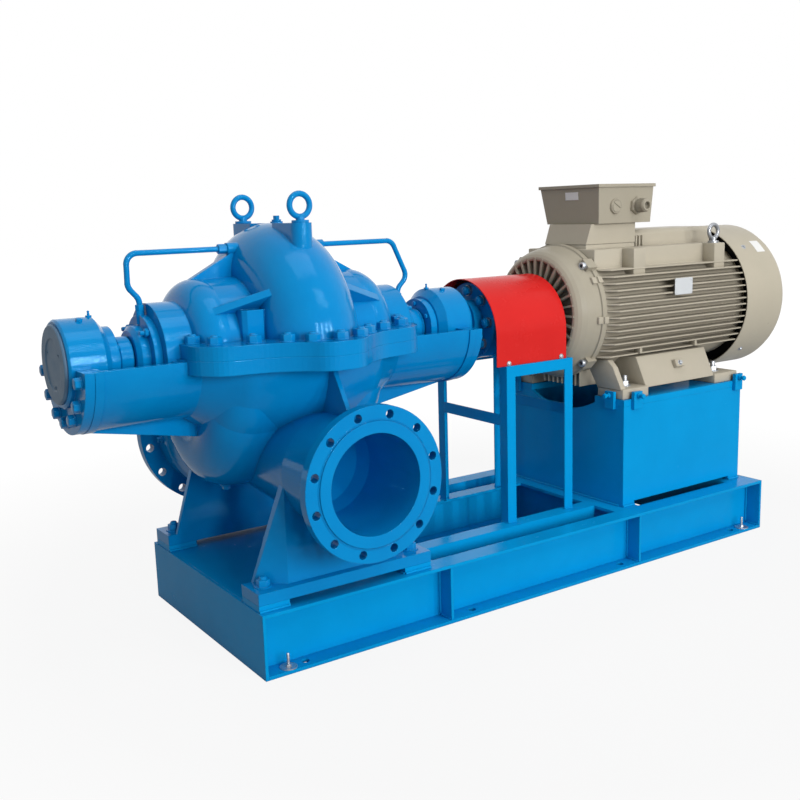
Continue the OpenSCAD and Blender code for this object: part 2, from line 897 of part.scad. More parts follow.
module bearing_housing_left() {
  color(BLUE)
    housing();
}

module bearing_housing_right() {
  color(BLUE)
    to_right_end()
      housing();
}

module bearing_end_cover_left() {
  r = bearing_cover_r;
  color(STEEL)
    turned(px, [
      [0, -cover_out + 3], [0.64 * r, -cover_out + 3], [0.66 * r, -cover_out], [r - 4, -cover_out],
      [r, -cover_out + 4], [r, -housing_out], [0, -housing_out]
    ]);
}

module bearing_end_cover_right() {
  color(BLUE)
    difference() {
      bar_x(px + housing_out, bearing_cover_t, bearing_cover_r);
      bar_x(px + housing_out - 1, bearing_cover_t + 2, shaft_r + running_gap);
    }
}

module bearing_inner_covers() {
  color(BLUE)
    both_ends()
      difference() {
        bar_x(px - housing_in, inner_cover_t, inner_cover_r);
        bar_x(px - housing_in - 1, inner_cover_t + 2, shaft_r + running_gap);
      }
}

// Gland with a boss for its flush pipe, drawn on the left end
module gland(foot_x, foot_rise) {
  difference() {
    union() {
      turned(px, [
        [0, -gland_out], [gland_r - 14, -gland_out], [gland_r, -gland_out + 12],
        [gland_r, -seal_half_l - gland_flange_t], [gland_flange_r, -seal_half_l - gland_flange_t],
        [gland_flange_r, -seal_half_l], [0, -seal_half_l]
      ]);
      translate([px - foot_x, 0, shaft_z + foot_rise - 40])
        cylinder(h = 40, r = 13);
    }
    bar_x(px - gland_out - 1, gland_l + 2, shaft_r + running_gap);
  }
}

// The shape drawn on the left end, moved to the right end
module to_right_end() {
  translate([px, 0, 0])
    mirror([1, 0, 0])
      translate([-px, 0, 0])
        children();
}

module seal_glands() {
  color(BLUE) {
    gland(pipe_foot_left, foot_rise_left);
    to_right_end()
      gland(pipe_foot_right, foot_rise_right);
  }
}

// Heading of one run of a path of [x, z] points
function heading(path, i) = atan2(path[i + 1][1] - path[i][1], path[i + 1][0] - path[i][0]);

// Turn at an inner point of a path, brought to within half a turn
function turn(path, i) = (heading(path, i) - heading(path, i - 1) + 540) % 360 - 180;

// Length that the bend at a point takes off the runs beside it
function trim(path, i, bend) =
  i == 0 || i == len(path) - 1 ? 0 : bend * tan(abs(turn(path, i)) / 2);

// Straight run of a bent pipe, lapping a little into the swollen bends beside it
module pipe_run(path, i, r, bend) {
  lap0 = i == 0 ? 0 : bend_lap;
  lap1 = i == len(path) - 2 ? 0 : bend_lap;
  start = trim(path, i, bend) - lap0;
  run = norm(path[i + 1] - path[i]) - trim(path, i + 1, bend) + lap1 - start;
  translate([path[i][0], 0, path[i][1]])
    rotate([0, 90 - heading(path, i), 0])
      translate([0, 0, start])
        cylinder(h = run, r = r);
}

// Bend of a bent pipe at an inner point of its path
module pipe_bend_at(path, i, r, bend) {
  h = heading(path, i - 1);
  t = turn(path, i);
  side = t > 0 ? 1 : -1;
  back = trim(path, i, bend);
  x = path[i][0] - back * cos(h) - side * bend * sin(h);
  z = path[i][1] - back * sin(h) + side * bend * cos(h);
  translate([x, 0, z])
    rotate([90, 0, 0])
      rotate([0, 0, t > 0 ? h - 90 : h + 90 + t])
        rotate_extrude(angle = abs(t))
          translate([bend, 0])
            circle(r = r + bend_swell);
}

// Round pipe along a path of [x, z] points, with a bend at each inner point
module bent_pipe(path, r, bend) {
  last = len(path) - 1;
  for (i = [0 : last - 1])
    pipe_run(path, i, r, bend);
  for (i = [1 : last - 1])
    pipe_bend_at(path, i, r, bend);
}

// Flush pipe from the hump to a gland, drawn on the left end as distances from the pump middle
module flush_pipe(corner_x, knee_x, knee_rise, foot_x, foot_rise) {
  z1 = shaft_z + pipe_rise;
  z0 = shaft_z + foot_rise;
  translate([px - pipe_start - 28, 0, z1])
    rotate([0, 90, 0])
      cylinder(h = 28, r = 15, $fn = 6);
  bent_pipe([
    [px - pipe_start - 20, z1], [px - corner_x, z1], [px - knee_x, shaft_z + knee_rise],
    [px - foot_x, z0 + 34], [px - foot_x, z0 + 8]
  ], pipe_d / 2, pipe_bend);
  translate([px - foot_x, 0, z0])
    cylinder(h = 18, r = 14, $fn = 6);
}

module flush_pipe_left() {
  color(BLUE)
    flush_pipe(left_corner_x, left_corner_x + 2, left_knee_rise, pipe_foot_left, foot_rise_left);
}

module flush_pipe_right() {
  color(BLUE)
    to_right_end()
      flush_pipe(right_corner_x, right_corner_x + 60, right_knee_rise, pipe_foot_right, foot_rise_right);
}

// Lifting eye standing on a flat seat, ring facing the sides
module lifting_eye(ring_r, wire_r) {
  cylinder(h = 8, r = ring_r * 0.78);
  cylinder(h = 22, r = wire_r * 1.5);
  translate([0, 0, 18 + ring_r])
    rotate([90, 0, 0])
      rotate_extrude()
        translate([ring_r, 0])
          circle(r = wire_r);
}

module pump_lifting_eyes() {
  color(BLUE)
    for (y = [-eye_y, eye_y])
      translate([px, y, eye_boss_z])
        lifting_eye(34, 9);
}

module vent_plug() {
  color(BLUE)
    translate([px + vent_x, 0, shaft_z + hump_r + 4]) {
      cylinder(h = 6, r = 15);
      cylinder(h = 18, r = 11, $fn = 6);
    }
}

module pump_shaft() {
  color(BLUE)
    bar_x(px - housing_out + 8, housing_out - 8 + coupling_start + coupling_disc_t, shaft_r);
}

// Ring of coupling pin positions
module pin_ring(x, len, r) {
  for (i = [0 : pins - 1])
    translate([x, pin_circle_r * sin(i * 360 / pins), shaft_z + pin_circle_r * cos(i * 360 / pins)])
      rotate([0, 90, 0])
        cylinder(h = len, r = r);
}

module coupling_pump_half() {
  color(BLUE)
    difference() {
      turned(coupling_x, [
        [0, -hub_l], [hub_r, -hub_l], [hub_r, 0], [coupling_r - 4, 0], [coupling_r, 4],
        [coupling_r, coupling_disc_t], [0, coupling_disc_t]
      ]);
      bar_x(coupling_x - hub_l - 1, hub_l + coupling_disc_t + 2, shaft_r + 0.05);
      pin_ring(coupling_x - 1, coupling_disc_t + 2, pin_r + 0.05);
    }
}

module coupling_motor_half() {
  color(BLUE)
    difference() {
      turned(motor_half_x, [
        [0, 0], [coupling_r, 0], [coupling_r, coupling_disc_t - 4], [coupling_r - 4, coupling_disc_t],
        [hub_r, coupling_disc_t], [hub_r, coupling_disc_t + motor_hub_l],
        [0, coupling_disc_t + motor_hub_l]
      ]);
      bar_x(motor_half_x - 1, coupling_disc_t + motor_hub_l + 2, motor_shaft_r + 0.05);
      pin_ring(motor_half_x - 1, coupling_disc_t + 2, pin_r + 0.05);
    }
}

module coupling_pins() {
  color(STEEL)
    union() {
      pin_ring(coupling_x - 14, 2 * coupling_disc_t + coupling_gap + 28, pin_r);
      pin_ring(coupling_x - 10, 10, pin_r + 7);
      pin_ring(motor_half_x + coupling_disc_t, 10, pin_r + 7);
    }
}

module motor_shaft() {
  color(STEEL)
    bar_x(motor_half_x, cowl_x + 64 + fan_w - motor_half_x, motor_shaft_r);
}

module motor_fan() {
  x = cowl_x + 60;
  color(STEEL)
    difference() {
      union() {
        bar_x(x, fan_w + 4, motor_shaft_r + 22);
        bar_x(x, 6, fan_r);
        for (i = [0 : 6])
          translate([x + 2, 0, shaft_z])
            rotate([i * 360 / 7, 0, 0])
              translate([0, -3, motor_shaft_r + 10])
                cube([fan_w, 6, fan_r + 20 - motor_shaft_r]);
      }
      bar_x(x - 10, fan_w + 24, motor_shaft_r + 0.05);
    }
}

module hood_section(w, h, z0) {
  union() {
    translate([0, shaft_z + hood_rise - hood_half_w])
      intersection() {
        circle(r = w);
        translate([-w, 0])
          square([2 * w, h]);
      }
    translate([-w, z0])
      square([2 * w, shaft_z + hood_rise - hood_half_w - z0]);
  }
}

module guard_hood() {
  color(RED)
    prism_x(hood_x, hood_l)
      difference() {
        hood_section(hood_half_w, 400, hood_z0);
        hood_section(hood_half_w - hood_t, 400, hood_z0 - 1);
      }
}

// Upright angle bar with its corner at the origin
module upright(x, sx) {
  union() {
    translate([x, -stand_half_w, top_z])
      mirror([sx < 0 ? 1 : 0, 0, 0])
        cube([angle_w, angle_t, hood_z0 - top_z]);
    translate([x, -stand_half_w, top_z])
      mirror([sx < 0 ? 1 : 0, 0, 0])
        cube([angle_t, angle_w, hood_z0 - top_z]);
  }
}

module guard_stand_side() {
  union() {
    upright(stand_x, 1);
    upright(stand_x + stand_l, -1);
    block([stand_x, -stand_half_w, hood_z0 - angle_w],
      [stand_x + stand_l, -stand_half_w + angle_t, hood_z0]);
    block([stand_x, -stand_half_w, hood_z0 - angle_t],
      [stand_x + stand_l, -stand_half_w + angle_w, hood_z0]);
  }
}

module guard_stand_front() {
  color(BLUE)
    guard_stand_side();
}

module guard_stand_rear() {
  color(BLUE)
    mirror([0, 1, 0])
      guard_stand_side();
}

// Bars from the front uprights to the rear ones
module guard_cross_bars() {
  y = stand_half_w - angle_w;
  z = shaft_z - brace_drop;
  color(BLUE)
    for (x = [stand_x, stand_x + stand_l - angle_t])
      block([x, -y, z - angle_w], [x + angle_t, y, z]);
}

// Side plate drawn on the front, with the slot below it
module pedestal_side() {
  f = pedestal_foot_l;
  prism_y(-pedestal_half_w + pedestal_t / 2, pedestal_t)
    polygon([
      [ped_x, top_z], [ped_x + f, top_z], [ped_x + f, top_z + pedestal_slot_h],
      [ped_x + pedestal_l - f, top_z + pedestal_slot_h], [ped_x + pedestal_l - f, top_z],
      [ped_x + pedestal_l, top_z], [ped_x + pedestal_l, ped_top], [ped_x, ped_top]
    ]);
}

module pedestal_side_plates() {
  color(BLUE)
    both_sides()
      pedestal_side();
}

module pedestal_end_plates() {
  w = pedestal_half_w - pedestal_t;
  color(BLUE)
    for (x = [ped_x, ped_x + pedestal_l - pedestal_t])
      difference() {
        block([x, -w, top_z], [x + pedestal_t, w, ped_top]);
        bar_x(x - 1, pedestal_t + 2, shaft_z - ped_top + 45);
      }
}

module pedestal_top_rails() {
  color(BLUE)
    both_sides()
      block([ped_x, -pedestal_half_w, ped_top], [ped_x + rail_l, -pedestal_half_w + rail_w, foot_plane]);
}

// Jacking lugs stand on the edges of the top rails and push the motor feet
module motor_jacking_lugs() {
  z0 = ped_top - 12;
  y0 = -pedestal_half_w + lug_inset;
  x1 = ped_x + rail_l;
  color(BLUE)
    both_sides() {
      block([ped_x - lug_t, y0, z0], [ped_x, y0 + lug_w, z0 + lug_h]);
      block([x1, y0, z0], [x1 + lug_t, y0 + lug_w, z0 + lug_h]);
      for (x = [ped_x + lug_inset, x1 - lug_end_gap - lug_w])
        block([x, -pedestal_half_w - lug_t, z0], [x + lug_w, -pedestal_half_w, z0 + lug_h]);
    }
}

// Cooling fin plate through the frame, with sloped drive end corners
module fin_plate() {
  linear_extrude(fin_t)
    polygon([
      [frame_x, -frame_r + 20], [frame_x + 42, -fin_half_w], [cowl_x, -fin_half_w],
      [cowl_x, fin_half_w], [frame_x + 42, fin_half_w], [frame_x, frame_r - 20]
    ]);
}

// One motor foot drawn on the front side: two pads and a sloped plate that bridges them
module motor_foot() {
  w = motor_foot_half_w;
  x0 = ped_x + foot_end_gap;
  x1 = x0 + motor_foot_l;
  z = foot_plane + motor_foot_t - 4;
  for (x = [x0, x1 - motor_pad_l])
    block([x, -w, foot_plane], [x + motor_pad_l, -w + 130, foot_plane + motor_foot_t]);
  prism_x(x0 + motor_pad_l - 5, motor_foot_l - 2 * motor_pad_l + 10)
    polygon([
      [-w + 8, z], [-w + 130, z], [-w + 200, foot_plane + 120],
      [-w + 62, foot_plane + 190], [-w + 34, foot_plane + 150]
    ]);
  prism_x(x0, foot_rib_t)
    polygon([
      [-w + 6, foot_plane + 10], [-w + 130, foot_plane + 10], [-w + 200, foot_plane + 120],
      [-w + 75, foot_plane + 165], [-w + 50, foot_plane + 130]
    ]);
}

// Flat saddle on the frame, with the neck seat, the ridge and the lifting bosses
module frame_top() {
  w = ridge_half_w;
  z = shaft_z + ridge_rise;
  block([frame_x + 4, -saddle_half_w, shaft_z], [frame_x + saddle_l, saddle_half_w, shaft_z + saddle_rise]);
  block([neck_x - neck_splay, -neck_front, shaft_z], [neck_x + neck_l, neck_back, pad_z]);
  prism_x(neck_x + neck_l + 12, frame_x + saddle_l - neck_x - neck_l - 20)
    polygon([[-w, shaft_z], [w, shaft_z], [w, z - 14], [w - 14, z], [14 - w, z], [-w, z - 14]]);
  both_sides()
    for (x = boss_x)
      block([x, -boss_face, shaft_z + 20], [x + boss_w, -boss_face + boss_depth, shaft_z + saddle_rise]);
}

module motor_frame() {
  fin_z0 = shaft_z - (fins - 1) / 2 * fin_pitch - fin_t / 2;
  bottom_fin_y0 = -(bottom_fins - 1) / 2 * fin_pitch - fin_t / 2;
  color(GREY)
    difference() {
      union() {
        bar_x(frame_x, frame_l + 30, frame_r);
        for (i = [0 : fins - 1])
          translate([0, 0, fin_z0 + i * fin_pitch])
            fin_plate();
        for (i = [0 : bottom_fins - 1])
          translate([frame_x + fin_setback, bottom_fin_y0 + i * fin_pitch, shaft_z - frame_r - bottom_fin_h])
            cube([frame_l - 6 * fin_setback, fin_t, 2 * bottom_fin_h]);
        both_sides()
          motor_foot();
        frame_top();
      }
      bar_x(frame_x - 1, frame_l + 40, motor_shaft_r + 30);
      both_sides()
        for (x = [ped_x + foot_end_gap + 75, ped_x + foot_end_gap + motor_foot_l - 75])
          translate([x, -motor_foot_half_w + 63, foot_plane - 1])
            cylinder(h = motor_foot_t + 2, d = 28);
    }
}

module motor_drive_shield() {
  r = shield_r;
  color(GREY)
    difference() {
      union() {
        turned(motor_x, [
          [0, -14], [92, -14], [98, 0], [112, 34], [r - 60, 34], [r - 58, 11], [r - 52, 8], [r - 44, 10],
          [r - 34, 18], [r - 25, 31], [r - 17, 52], [r - 10, 86], [r - 6, shield_l - 24], [r, shield_l - 22],
          [r, shield_l], [0, shield_l]
        ]);
        for (i = [0 : shield_ribs - 1])
          translate([motor_x + 6, 0, shaft_z])
            rotate([i * 360 / shield_ribs, 0, 0])
              translate([0, -4, 90])
                cube([40, 8, r - 136]);
        for (i = [0 : 3])
          translate([frame_x - 47, 0, shaft_z])
            rotate([45 + i * 90, 0, 0])
              translate([0, -22, r - 40])
                cube([46, 44, 52]);
      }
      bar_x(motor_x - 20, shield_l + 40, motor_shaft_r + running_gap);
    }
}

module motor_rear_shield() {
  color(GREY)
    difference() {
      bar_x(cowl_x + 30, 22, frame_r - 8);
      bar_x(cowl_x + 29, 24, motor_shaft_r + running_gap);
    }
}

module motor_fan_cowl() {
  r = cowl_r;
  t = cowl_t;
  q = cowl_round;
  color(GREY)
    difference() {
      turned(cowl_x, [
        [r - t, 0], [r, 0], [r, cowl_l - q], [r - 0.3 * q, cowl_l - 0.3 * q], [r - q, cowl_l],
        [0, cowl_l], [0, cowl_l - t], [r - q - 1, cowl_l - t], [r - 0.3 * q - t, cowl_l - 0.3 * q - t],
        [r - t, cowl_l - q - 1]
      ]);
      for (i = [0 : 23])
        translate([cowl_x + cowl_l - 10, 0, shaft_z])
          rotate([i * 15, 0, 0])
            translate([0, -6, 150])
              cube([20, 12, 90]);
      for (i = [0 : 11])
        translate([cowl_x + cowl_l - 10, 0, shaft_z])
          rotate([i * 30, 0, 0])
            translate([0, -6, 60])
              cube([20, 12, 70]);
    }
}

module terminal_neck() {
  color(GREY)
    prism_y((neck_back - neck_front) / 2, neck_front + neck_back)
      polygon([
        [neck_x - neck_splay, pad_z], [neck_x + neck_l, pad_z], [neck_x + neck_l, box_z], [neck_x, box_z]
      ]);
}

// Cast box with drafted walls, wider at the lid
module terminal_box() {
  d = box_draft;
  w = box_half_w;
  color(GREY)
    intersection() {
      prism_y(0, 2 * w + 2)
        polygon([[box_x + d, box_z], [box_x + box_l - d, box_z], [box_x + box_l, lid_z], [box_x, lid_z]]);
      prism_x(box_x - 1, box_l + 2)
        polygon([[-w + d, box_z], [w - box_back_draft, box_z], [w, lid_z], [-w, lid_z]]);
    }
}

module terminal_lid() {
  lip = 6;
  color(GREY)
    block([box_x - lip, -box_half_w - lip, lid_z], [box_x + box_l + lip, box_half_w + lip, lid_z + lid_t]);
}

// Cable entry seated on the drafted front wall of the box
module cable_gland() {
  x = box_x + box_l - 92;
  z = box_z + 64;
  y = -box_half_w + box_draft;
  color(GREY)
    difference() {
      union() {
        bar_y(x, z, y - 30, y, 31);
        bar_y(x, z, y - 74, y, 25);
      }
      box_front();
    }
}

module blanking_plug() {
  x = box_x + 92;
  z = box_z + 64;
  y = -box_half_w + box_draft;
  color(GREY)
    difference() {
      union() {
        bar_y(x, z, y - 18, y, 29);
        bar_y(x, z, y - 24, y, 12);
      }
      box_front();
    }
}

// Space behind the drafted front wall of the box
module box_front() {
  w = box_half_w;
  prism_x(box_x, box_l)
    polygon([[-w + box_draft, box_z], [w, box_z], [w, lid_z], [-w, lid_z]]);
}

module motor_lifting_eyes() {
  color(STEEL)
    translate([boss_x[1] + boss_w / 2, -boss_face + 34, shaft_z + saddle_rise])
      lifting_eye(27, 8);
}

base_front_channel();
base_rear_channel();
base_end_plates();
base_deck_plate();
base_inner_beams();
base_cross_beams();
base_stiffeners();
pump_foot_pads();
lower_casing();
upper_casing();
bearing_housing_left();
bearing_housing_right();
bearing_end_cover_left();
bearing_end_cover_right();
bearing_inner_covers();
seal_glands();
flush_pipe_left();
flush_pipe_right();
pump_lifting_eyes();
vent_plug();
pump_shaft();
coupling_pump_half();
coupling_motor_half();
coupling_pins();
motor_shaft();
motor_fan();
guard_hood();
guard_stand_front();
guard_stand_rear();
guard_cross_bars();
pedestal_side_plates();
pedestal_end_plates();
pedestal_top_rails();
motor_jacking_lugs();
motor_frame();
motor_drive_shield();
motor_rear_shield();
motor_fan_cowl();
terminal_neck();
terminal_box();
terminal_lid();
cable_gland();
blanking_plug();
motor_lifting_eyes();
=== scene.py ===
import math
import random

import bmesh
import bpy
from mathutils import Matrix, Quaternion, Vector


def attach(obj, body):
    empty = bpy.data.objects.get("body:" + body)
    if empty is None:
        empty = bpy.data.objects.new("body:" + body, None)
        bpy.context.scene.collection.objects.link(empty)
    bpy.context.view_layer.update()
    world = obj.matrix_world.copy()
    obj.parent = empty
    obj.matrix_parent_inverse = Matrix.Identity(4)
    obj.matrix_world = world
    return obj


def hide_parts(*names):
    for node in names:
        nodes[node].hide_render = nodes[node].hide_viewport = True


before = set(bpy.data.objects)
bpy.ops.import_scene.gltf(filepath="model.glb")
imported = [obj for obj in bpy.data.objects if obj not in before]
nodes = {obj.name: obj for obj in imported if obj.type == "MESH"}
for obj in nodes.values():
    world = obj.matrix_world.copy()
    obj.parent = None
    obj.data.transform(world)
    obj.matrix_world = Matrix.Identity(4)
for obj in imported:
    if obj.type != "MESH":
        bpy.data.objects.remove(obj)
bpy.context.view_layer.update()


# Baseplate. Rolled steel channel, cut and arc welded into one frame, with a deck plate
# under the pump. It is brushed, filled and sprayed with blue alkyd enamel, which runs
# over the welds and dries with a faint orange peel.
def linear(hex_colour):
    rgb = [int(hex_colour[i:i + 2], 16) / 255 for i in (1, 3, 5)]
    return [c / 12.92 if c <= 0.04045 else ((c + 0.055) / 1.055) ** 2.4 for c in rgb] + [1]


def add_node(material, kind, inputs=(), **settings):
    made = material.node_tree.nodes.new(kind)
    for name, value in settings.items():
        setattr(made, name, value)
    for name, value in dict(inputs).items():
        if isinstance(value, bpy.types.NodeSocket):
            material.node_tree.links.new(value, made.inputs[name])
        else:
            made.inputs[name].default_value = value
    return made


def enamel(name, thin, full, shade, peel_mm, cast_mm, cast_depth_mm, gloss,
           sheen=0.14, glint="#FFFFFF"):
    """Sprayed enamel. The coat drifts between thin and full over a hand's width,
    turns to the shade tone in corners as painted shade, from an ambient occlusion mask,
    and shows the peel of the spray over the roughness of what lies under it. Edges are rounded by the coat."""
    hand_mm, corner_mm, rim_mm, peel_depth_mm = 140, 50, 3.5, 0.2
    material = bpy.data.materials.new(name)
    material.use_nodes = True
    links = material.node_tree.links
    shader = material.node_tree.nodes["Principled BSDF"]
    place = add_node(material, "ShaderNodeTexCoord").outputs["Object"]
    drift = add_node(material, "ShaderNodeTexNoise",
                     {"Vector": place, "Scale": 1000 / hand_mm, "Detail": 4.0, "Roughness": 0.6})
    coat = add_node(material, "ShaderNodeMix", {0: drift.outputs["Fac"]}, data_type="RGBA")
    coat.inputs[6].default_value = linear(thin)
    coat.inputs[7].default_value = linear(full)
    # Painted shade: an ambient occlusion mask turns the coat towards the shade tone in corners, creases and
    # between parts.
    corner = add_node(material, "ShaderNodeAmbientOcclusion", {"Distance": corner_mm / 1000},
                      samples=4)
    corner_shade = add_node(material, "ShaderNodeMapRange",
                       {"Value": corner.outputs["AO"], "From Min": 0.1, "From Max": 0.65,
                        "To Min": 0.6, "To Max": 0.0})
    coat_with_painted_shade = add_node(material, "ShaderNodeMix",
                      {0: corner_shade.outputs["Result"], 6: coat.outputs[2]}, data_type="RGBA")
    coat_with_painted_shade.inputs[7].default_value = linear(shade)
    links.new(coat_with_painted_shade.outputs[2], shader.inputs["Base Color"])
    peel = add_node(material, "ShaderNodeTexNoise",
                    {"Vector": place, "Scale": 1000 / peel_mm, "Detail": 2.0})
    skin = add_node(material, "ShaderNodeTexNoise",
                    {"Vector": place, "Scale": 1000 / cast_mm, "Detail": 5.0, "Roughness": 0.65})
    rim = add_node(material, "ShaderNodeBevel", {"Radius": rim_mm / 1000}, samples=4)
    under = add_node(material, "ShaderNodeBump",
                     {"Height": skin.outputs["Fac"], "Strength": 1.0,
                      "Distance": cast_depth_mm / 1000, "Normal": rim.outputs["Normal"]})
    over = add_node(material, "ShaderNodeBump",
                    {"Height": peel.outputs["Fac"], "Strength": 0.5, "Distance": peel_depth_mm / 1000,
                     "Normal": under.outputs["Normal"]})
    links.new(over.outputs["Normal"], shader.inputs["Normal"])
    dulled = add_node(material, "ShaderNodeMapRange",
                      {"Value": skin.outputs["Fac"], "From Min": 0.3, "From Max": 0.7,
                       "To Min": gloss - 0.06, "To Max": gloss + 0.08})
    links.new(dulled.outputs["Result"], shader.inputs["Roughness"])
    shader.inputs["Specular IOR Level"].default_value = sheen
    shader.inputs["Specular Tint"].default_value = linear(glint)
    return material


# Gloss blue alkyd on rolled steel: flat, with a fine peel and few lumps.
blue_plate = enamel("blue_alkyd_on_rolled_steel", "#048FCD", "#059BDB", "#045298",
                    5, 60, 0.4, 0.2, 0.08, "#8CCBF6")
for name in ("base_front_channel", "base_rear_channel", "base_end_plates", "base_deck_plate",
             "base_inner_beams", "base_cross_beams", "base_stiffeners", "pump_foot_pads"):
    nodes[name].material_slots[0].material = blue_plate


def add_piece(name, mesh, material, body):
    """Close the mesh, shade it smooth between sharp edges and let it ride on a body."""
    sharp = 0.6
    bmesh.ops.remove_doubles(mesh, verts=mesh.verts[:], dist=1e-6)
    bmesh.ops.recalc_face_normals(mesh, faces=mesh.faces[:])
    for face in mesh.faces:
        face.smooth = True
    for edge in mesh.edges:
        edge.smooth = edge.calc_face_angle(0) < sharp
    data = bpy.data.meshes.new(name)
    mesh.to_mesh(data)
    mesh.free()
    data.materials.append(material)
    made = bpy.data.objects.new(name, data)
    bpy.context.collection.objects.link(made)
    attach(made, body)
    return made


# Weld beads of the baseplate. Hand laid fillet beads of the stick welder, each about
# 10 mm wide with a ripple for every pause of the rod, painted over with the frame.
def weld_bead(mesh, start, end, size, seed):
    """Bead from start to end: a ring pushed along in ripples that swell and shrink."""
    ripple, blunt = 0.005, 0.7
    hand = random.Random(seed)
    a, b = Vector(start) / 1000, Vector(end) / 1000
    steps = max(3, round((b - a).length / ripple))
    turned_to = (b - a).to_track_quat("Z", "Y").to_matrix().to_4x4()
    ring = bmesh.ops.create_circle(mesh, cap_ends=True, segments=7, radius=blunt * size / 1000,
                                   matrix=Matrix.Translation(a) @ turned_to)["verts"]
    width = blunt
    for step in range(1, steps + 1):
        inside = set(ring)
        edges = [e for e in {e for v in ring for e in v.link_edges} if set(e.verts) <= inside]
        grown = bmesh.ops.extrude_edge_only(mesh, edges=edges)["geom"]
        ring = [v for v in grown if isinstance(v, bmesh.types.BMVert)]
        bmesh.ops.translate(mesh, verts=ring, vec=(b - a) / steps)
        swell = 1.0 if step % 2 else 0.84
        wider = blunt if step == steps else swell + hand.uniform(-0.12, 0.12)
        here = a + (b - a) * step / steps
        bmesh.ops.scale(mesh, verts=ring, vec=Vector((1, 1, 1)) * wider / width,
                        space=Matrix.Translation(-here))
        width = wider
    inside = set(ring)
    bmesh.ops.edgeloop_fill(mesh, edges=[e for e in {e for v in ring for e in v.link_edges}
                                         if set(e.verts) <= inside])


# Each channel is welded to its stiffeners and end plates down the web and along both flanges,
# and the deck carries the beads of the foot pads, the pedestal and the guard stand.
web_y, web_low, web_high, flange_low, flange_high, flange_w = 361, 16, 184, 13, 187, 56
deck_z, pad_l, pad_outer, pad_inner = 202, 100, 401, 287
pedestal_y, pedestal_run, stand_y, stand_w, stand_z = 332, 62, 208, 40, 201
mesh = bmesh.new()
seed = 1
for side in (-1, 1):
    for x, y in ((-458, 362), (-448, 362), (419, 362), (429, 362), (-1121, 364), (1121, 364)):
        weld_bead(mesh, (x, side * web_y, web_low), (x, side * web_y, web_high), 5, seed)
        for later, z in ((1, flange_low), (2, flange_high)):
            weld_bead(mesh, (x, side * y, z), (x, side * (y + flange_w), z), 4, seed + later)
        seed += 3
    for x, end_x in ((-1130, -1029), (-620, -621)):
        for later, y in ((0, pad_outer), (1, pad_inner)):
            weld_bead(mesh, (x, side * y, deck_z), (x + pad_l, side * y, deck_z), 5, seed + later)
        weld_bead(mesh, (end_x, side * (pad_inner + 3), deck_z), (end_x, side * (pad_outer - 3), deck_z),
                  5, seed + 2)
        seed += 3
    for x in (427, 1040):
        weld_bead(mesh, (x, side * pedestal_y, deck_z), (x + pedestal_run, side * pedestal_y, deck_z),
                  5, seed)
        seed += 1
    for x, corner_x in ((-33, -33), (245, 285)):
        weld_bead(mesh, (x, side * stand_y, stand_z), (x + stand_w, side * stand_y, stand_z), 3, seed)
        weld_bead(mesh, (corner_x, side * (stand_y - 2), stand_z),
                  (corner_x, side * (stand_y - stand_w), stand_z), 3, seed + 1)
        seed += 2
weld_bead(mesh, (-477, -178, 200), (-477, 178, 200), 4, 900)
weld_bead(mesh, (425, -312, deck_z), (425, 312, deck_z), 5, 901)
add_piece("base_weld_beads", mesh, blue_plate, "pump_set")

# Levelling studs of the baseplate. Zinc plated threaded rod with a wide repair washer
# and a nut, set through the lower flange of the front channel near both ends.
zinc = bpy.data.materials.new("zinc_plated_steel")
zinc.use_nodes = True
shader = zinc.node_tree.nodes["Principled BSDF"]
# Bright zinc has small spangled patches, a little bluer and duller than steel.
place = add_node(zinc, "ShaderNodeTexCoord").outputs["Object"]
spangle = add_node(zinc, "ShaderNodeTexVoronoi", {"Vector": place, "Scale": 1000 / 6})
patch = add_node(zinc, "ShaderNodeMix", {0: spangle.outputs["Distance"]}, data_type="RGBA")
patch.inputs[6].default_value = linear("#C9CDD2")
patch.inputs[7].default_value = linear("#9CA1A8")
zinc.node_tree.links.new(patch.outputs[2], shader.inputs["Base Color"])
scuff = add_node(zinc, "ShaderNodeTexNoise", {"Vector": place, "Scale": 1000 / 3, "Detail": 3.0})
dull = add_node(zinc, "ShaderNodeMapRange",
                {"Value": scuff.outputs["Fac"], "To Min": 0.25, "To Max": 0.5})
zinc.node_tree.links.new(dull.outputs["Result"], shader.inputs["Roughness"])
shader.inputs["Metallic"].default_value = 0.85


def turned(mesh, place, axis, profile, steps=20):
    """Turned part: a profile of [radius, height] in millimetres, spun about an axis."""
    place, axis = Vector(place) / 1000, Vector(axis).normalized()
    stand = Matrix.Translation(place) @ axis.to_track_quat("Z", "Y").to_matrix().to_4x4()
    line = [mesh.verts.new(stand @ Vector((r / 1000, 0, h / 1000))) for r, h in profile]
    edges = [mesh.edges.new(pair) for pair in zip(line, line[1:])]
    bmesh.ops.spin(mesh, geom=line + edges, cent=place, axis=axis, dvec=(0, 0, 0),
                   angle=2 * math.pi, steps=steps, use_merge=True)


def hexagon(mesh, place, axis, across, height):
    """Hexagon head or nut, with the chamfer that the bar is turned to."""
    place, axis = Vector(place) / 1000, Vector(axis).normalized()
    facing = axis.to_track_quat("Z", "Y").to_matrix().to_4x4()
    stand = Matrix.Translation(place + axis * height / 2000) @ facing
    corner = across / 1732
    made = bmesh.ops.create_cone(mesh, cap_ends=True, segments=6, radius1=corner, radius2=corner,
                                 depth=height / 1000, matrix=stand)["verts"]
    outer = {v for v in made if (v.co - place).dot(axis) > height / 2000}
    rim = [e for e in {e for v in outer for e in v.link_edges} if set(e.verts) <= outer]
    bmesh.ops.bevel(mesh, geom=rim, offset=across / 10000, offset_type="OFFSET", segments=2,
                    profile=0.5, affect="EDGES", material=-1)


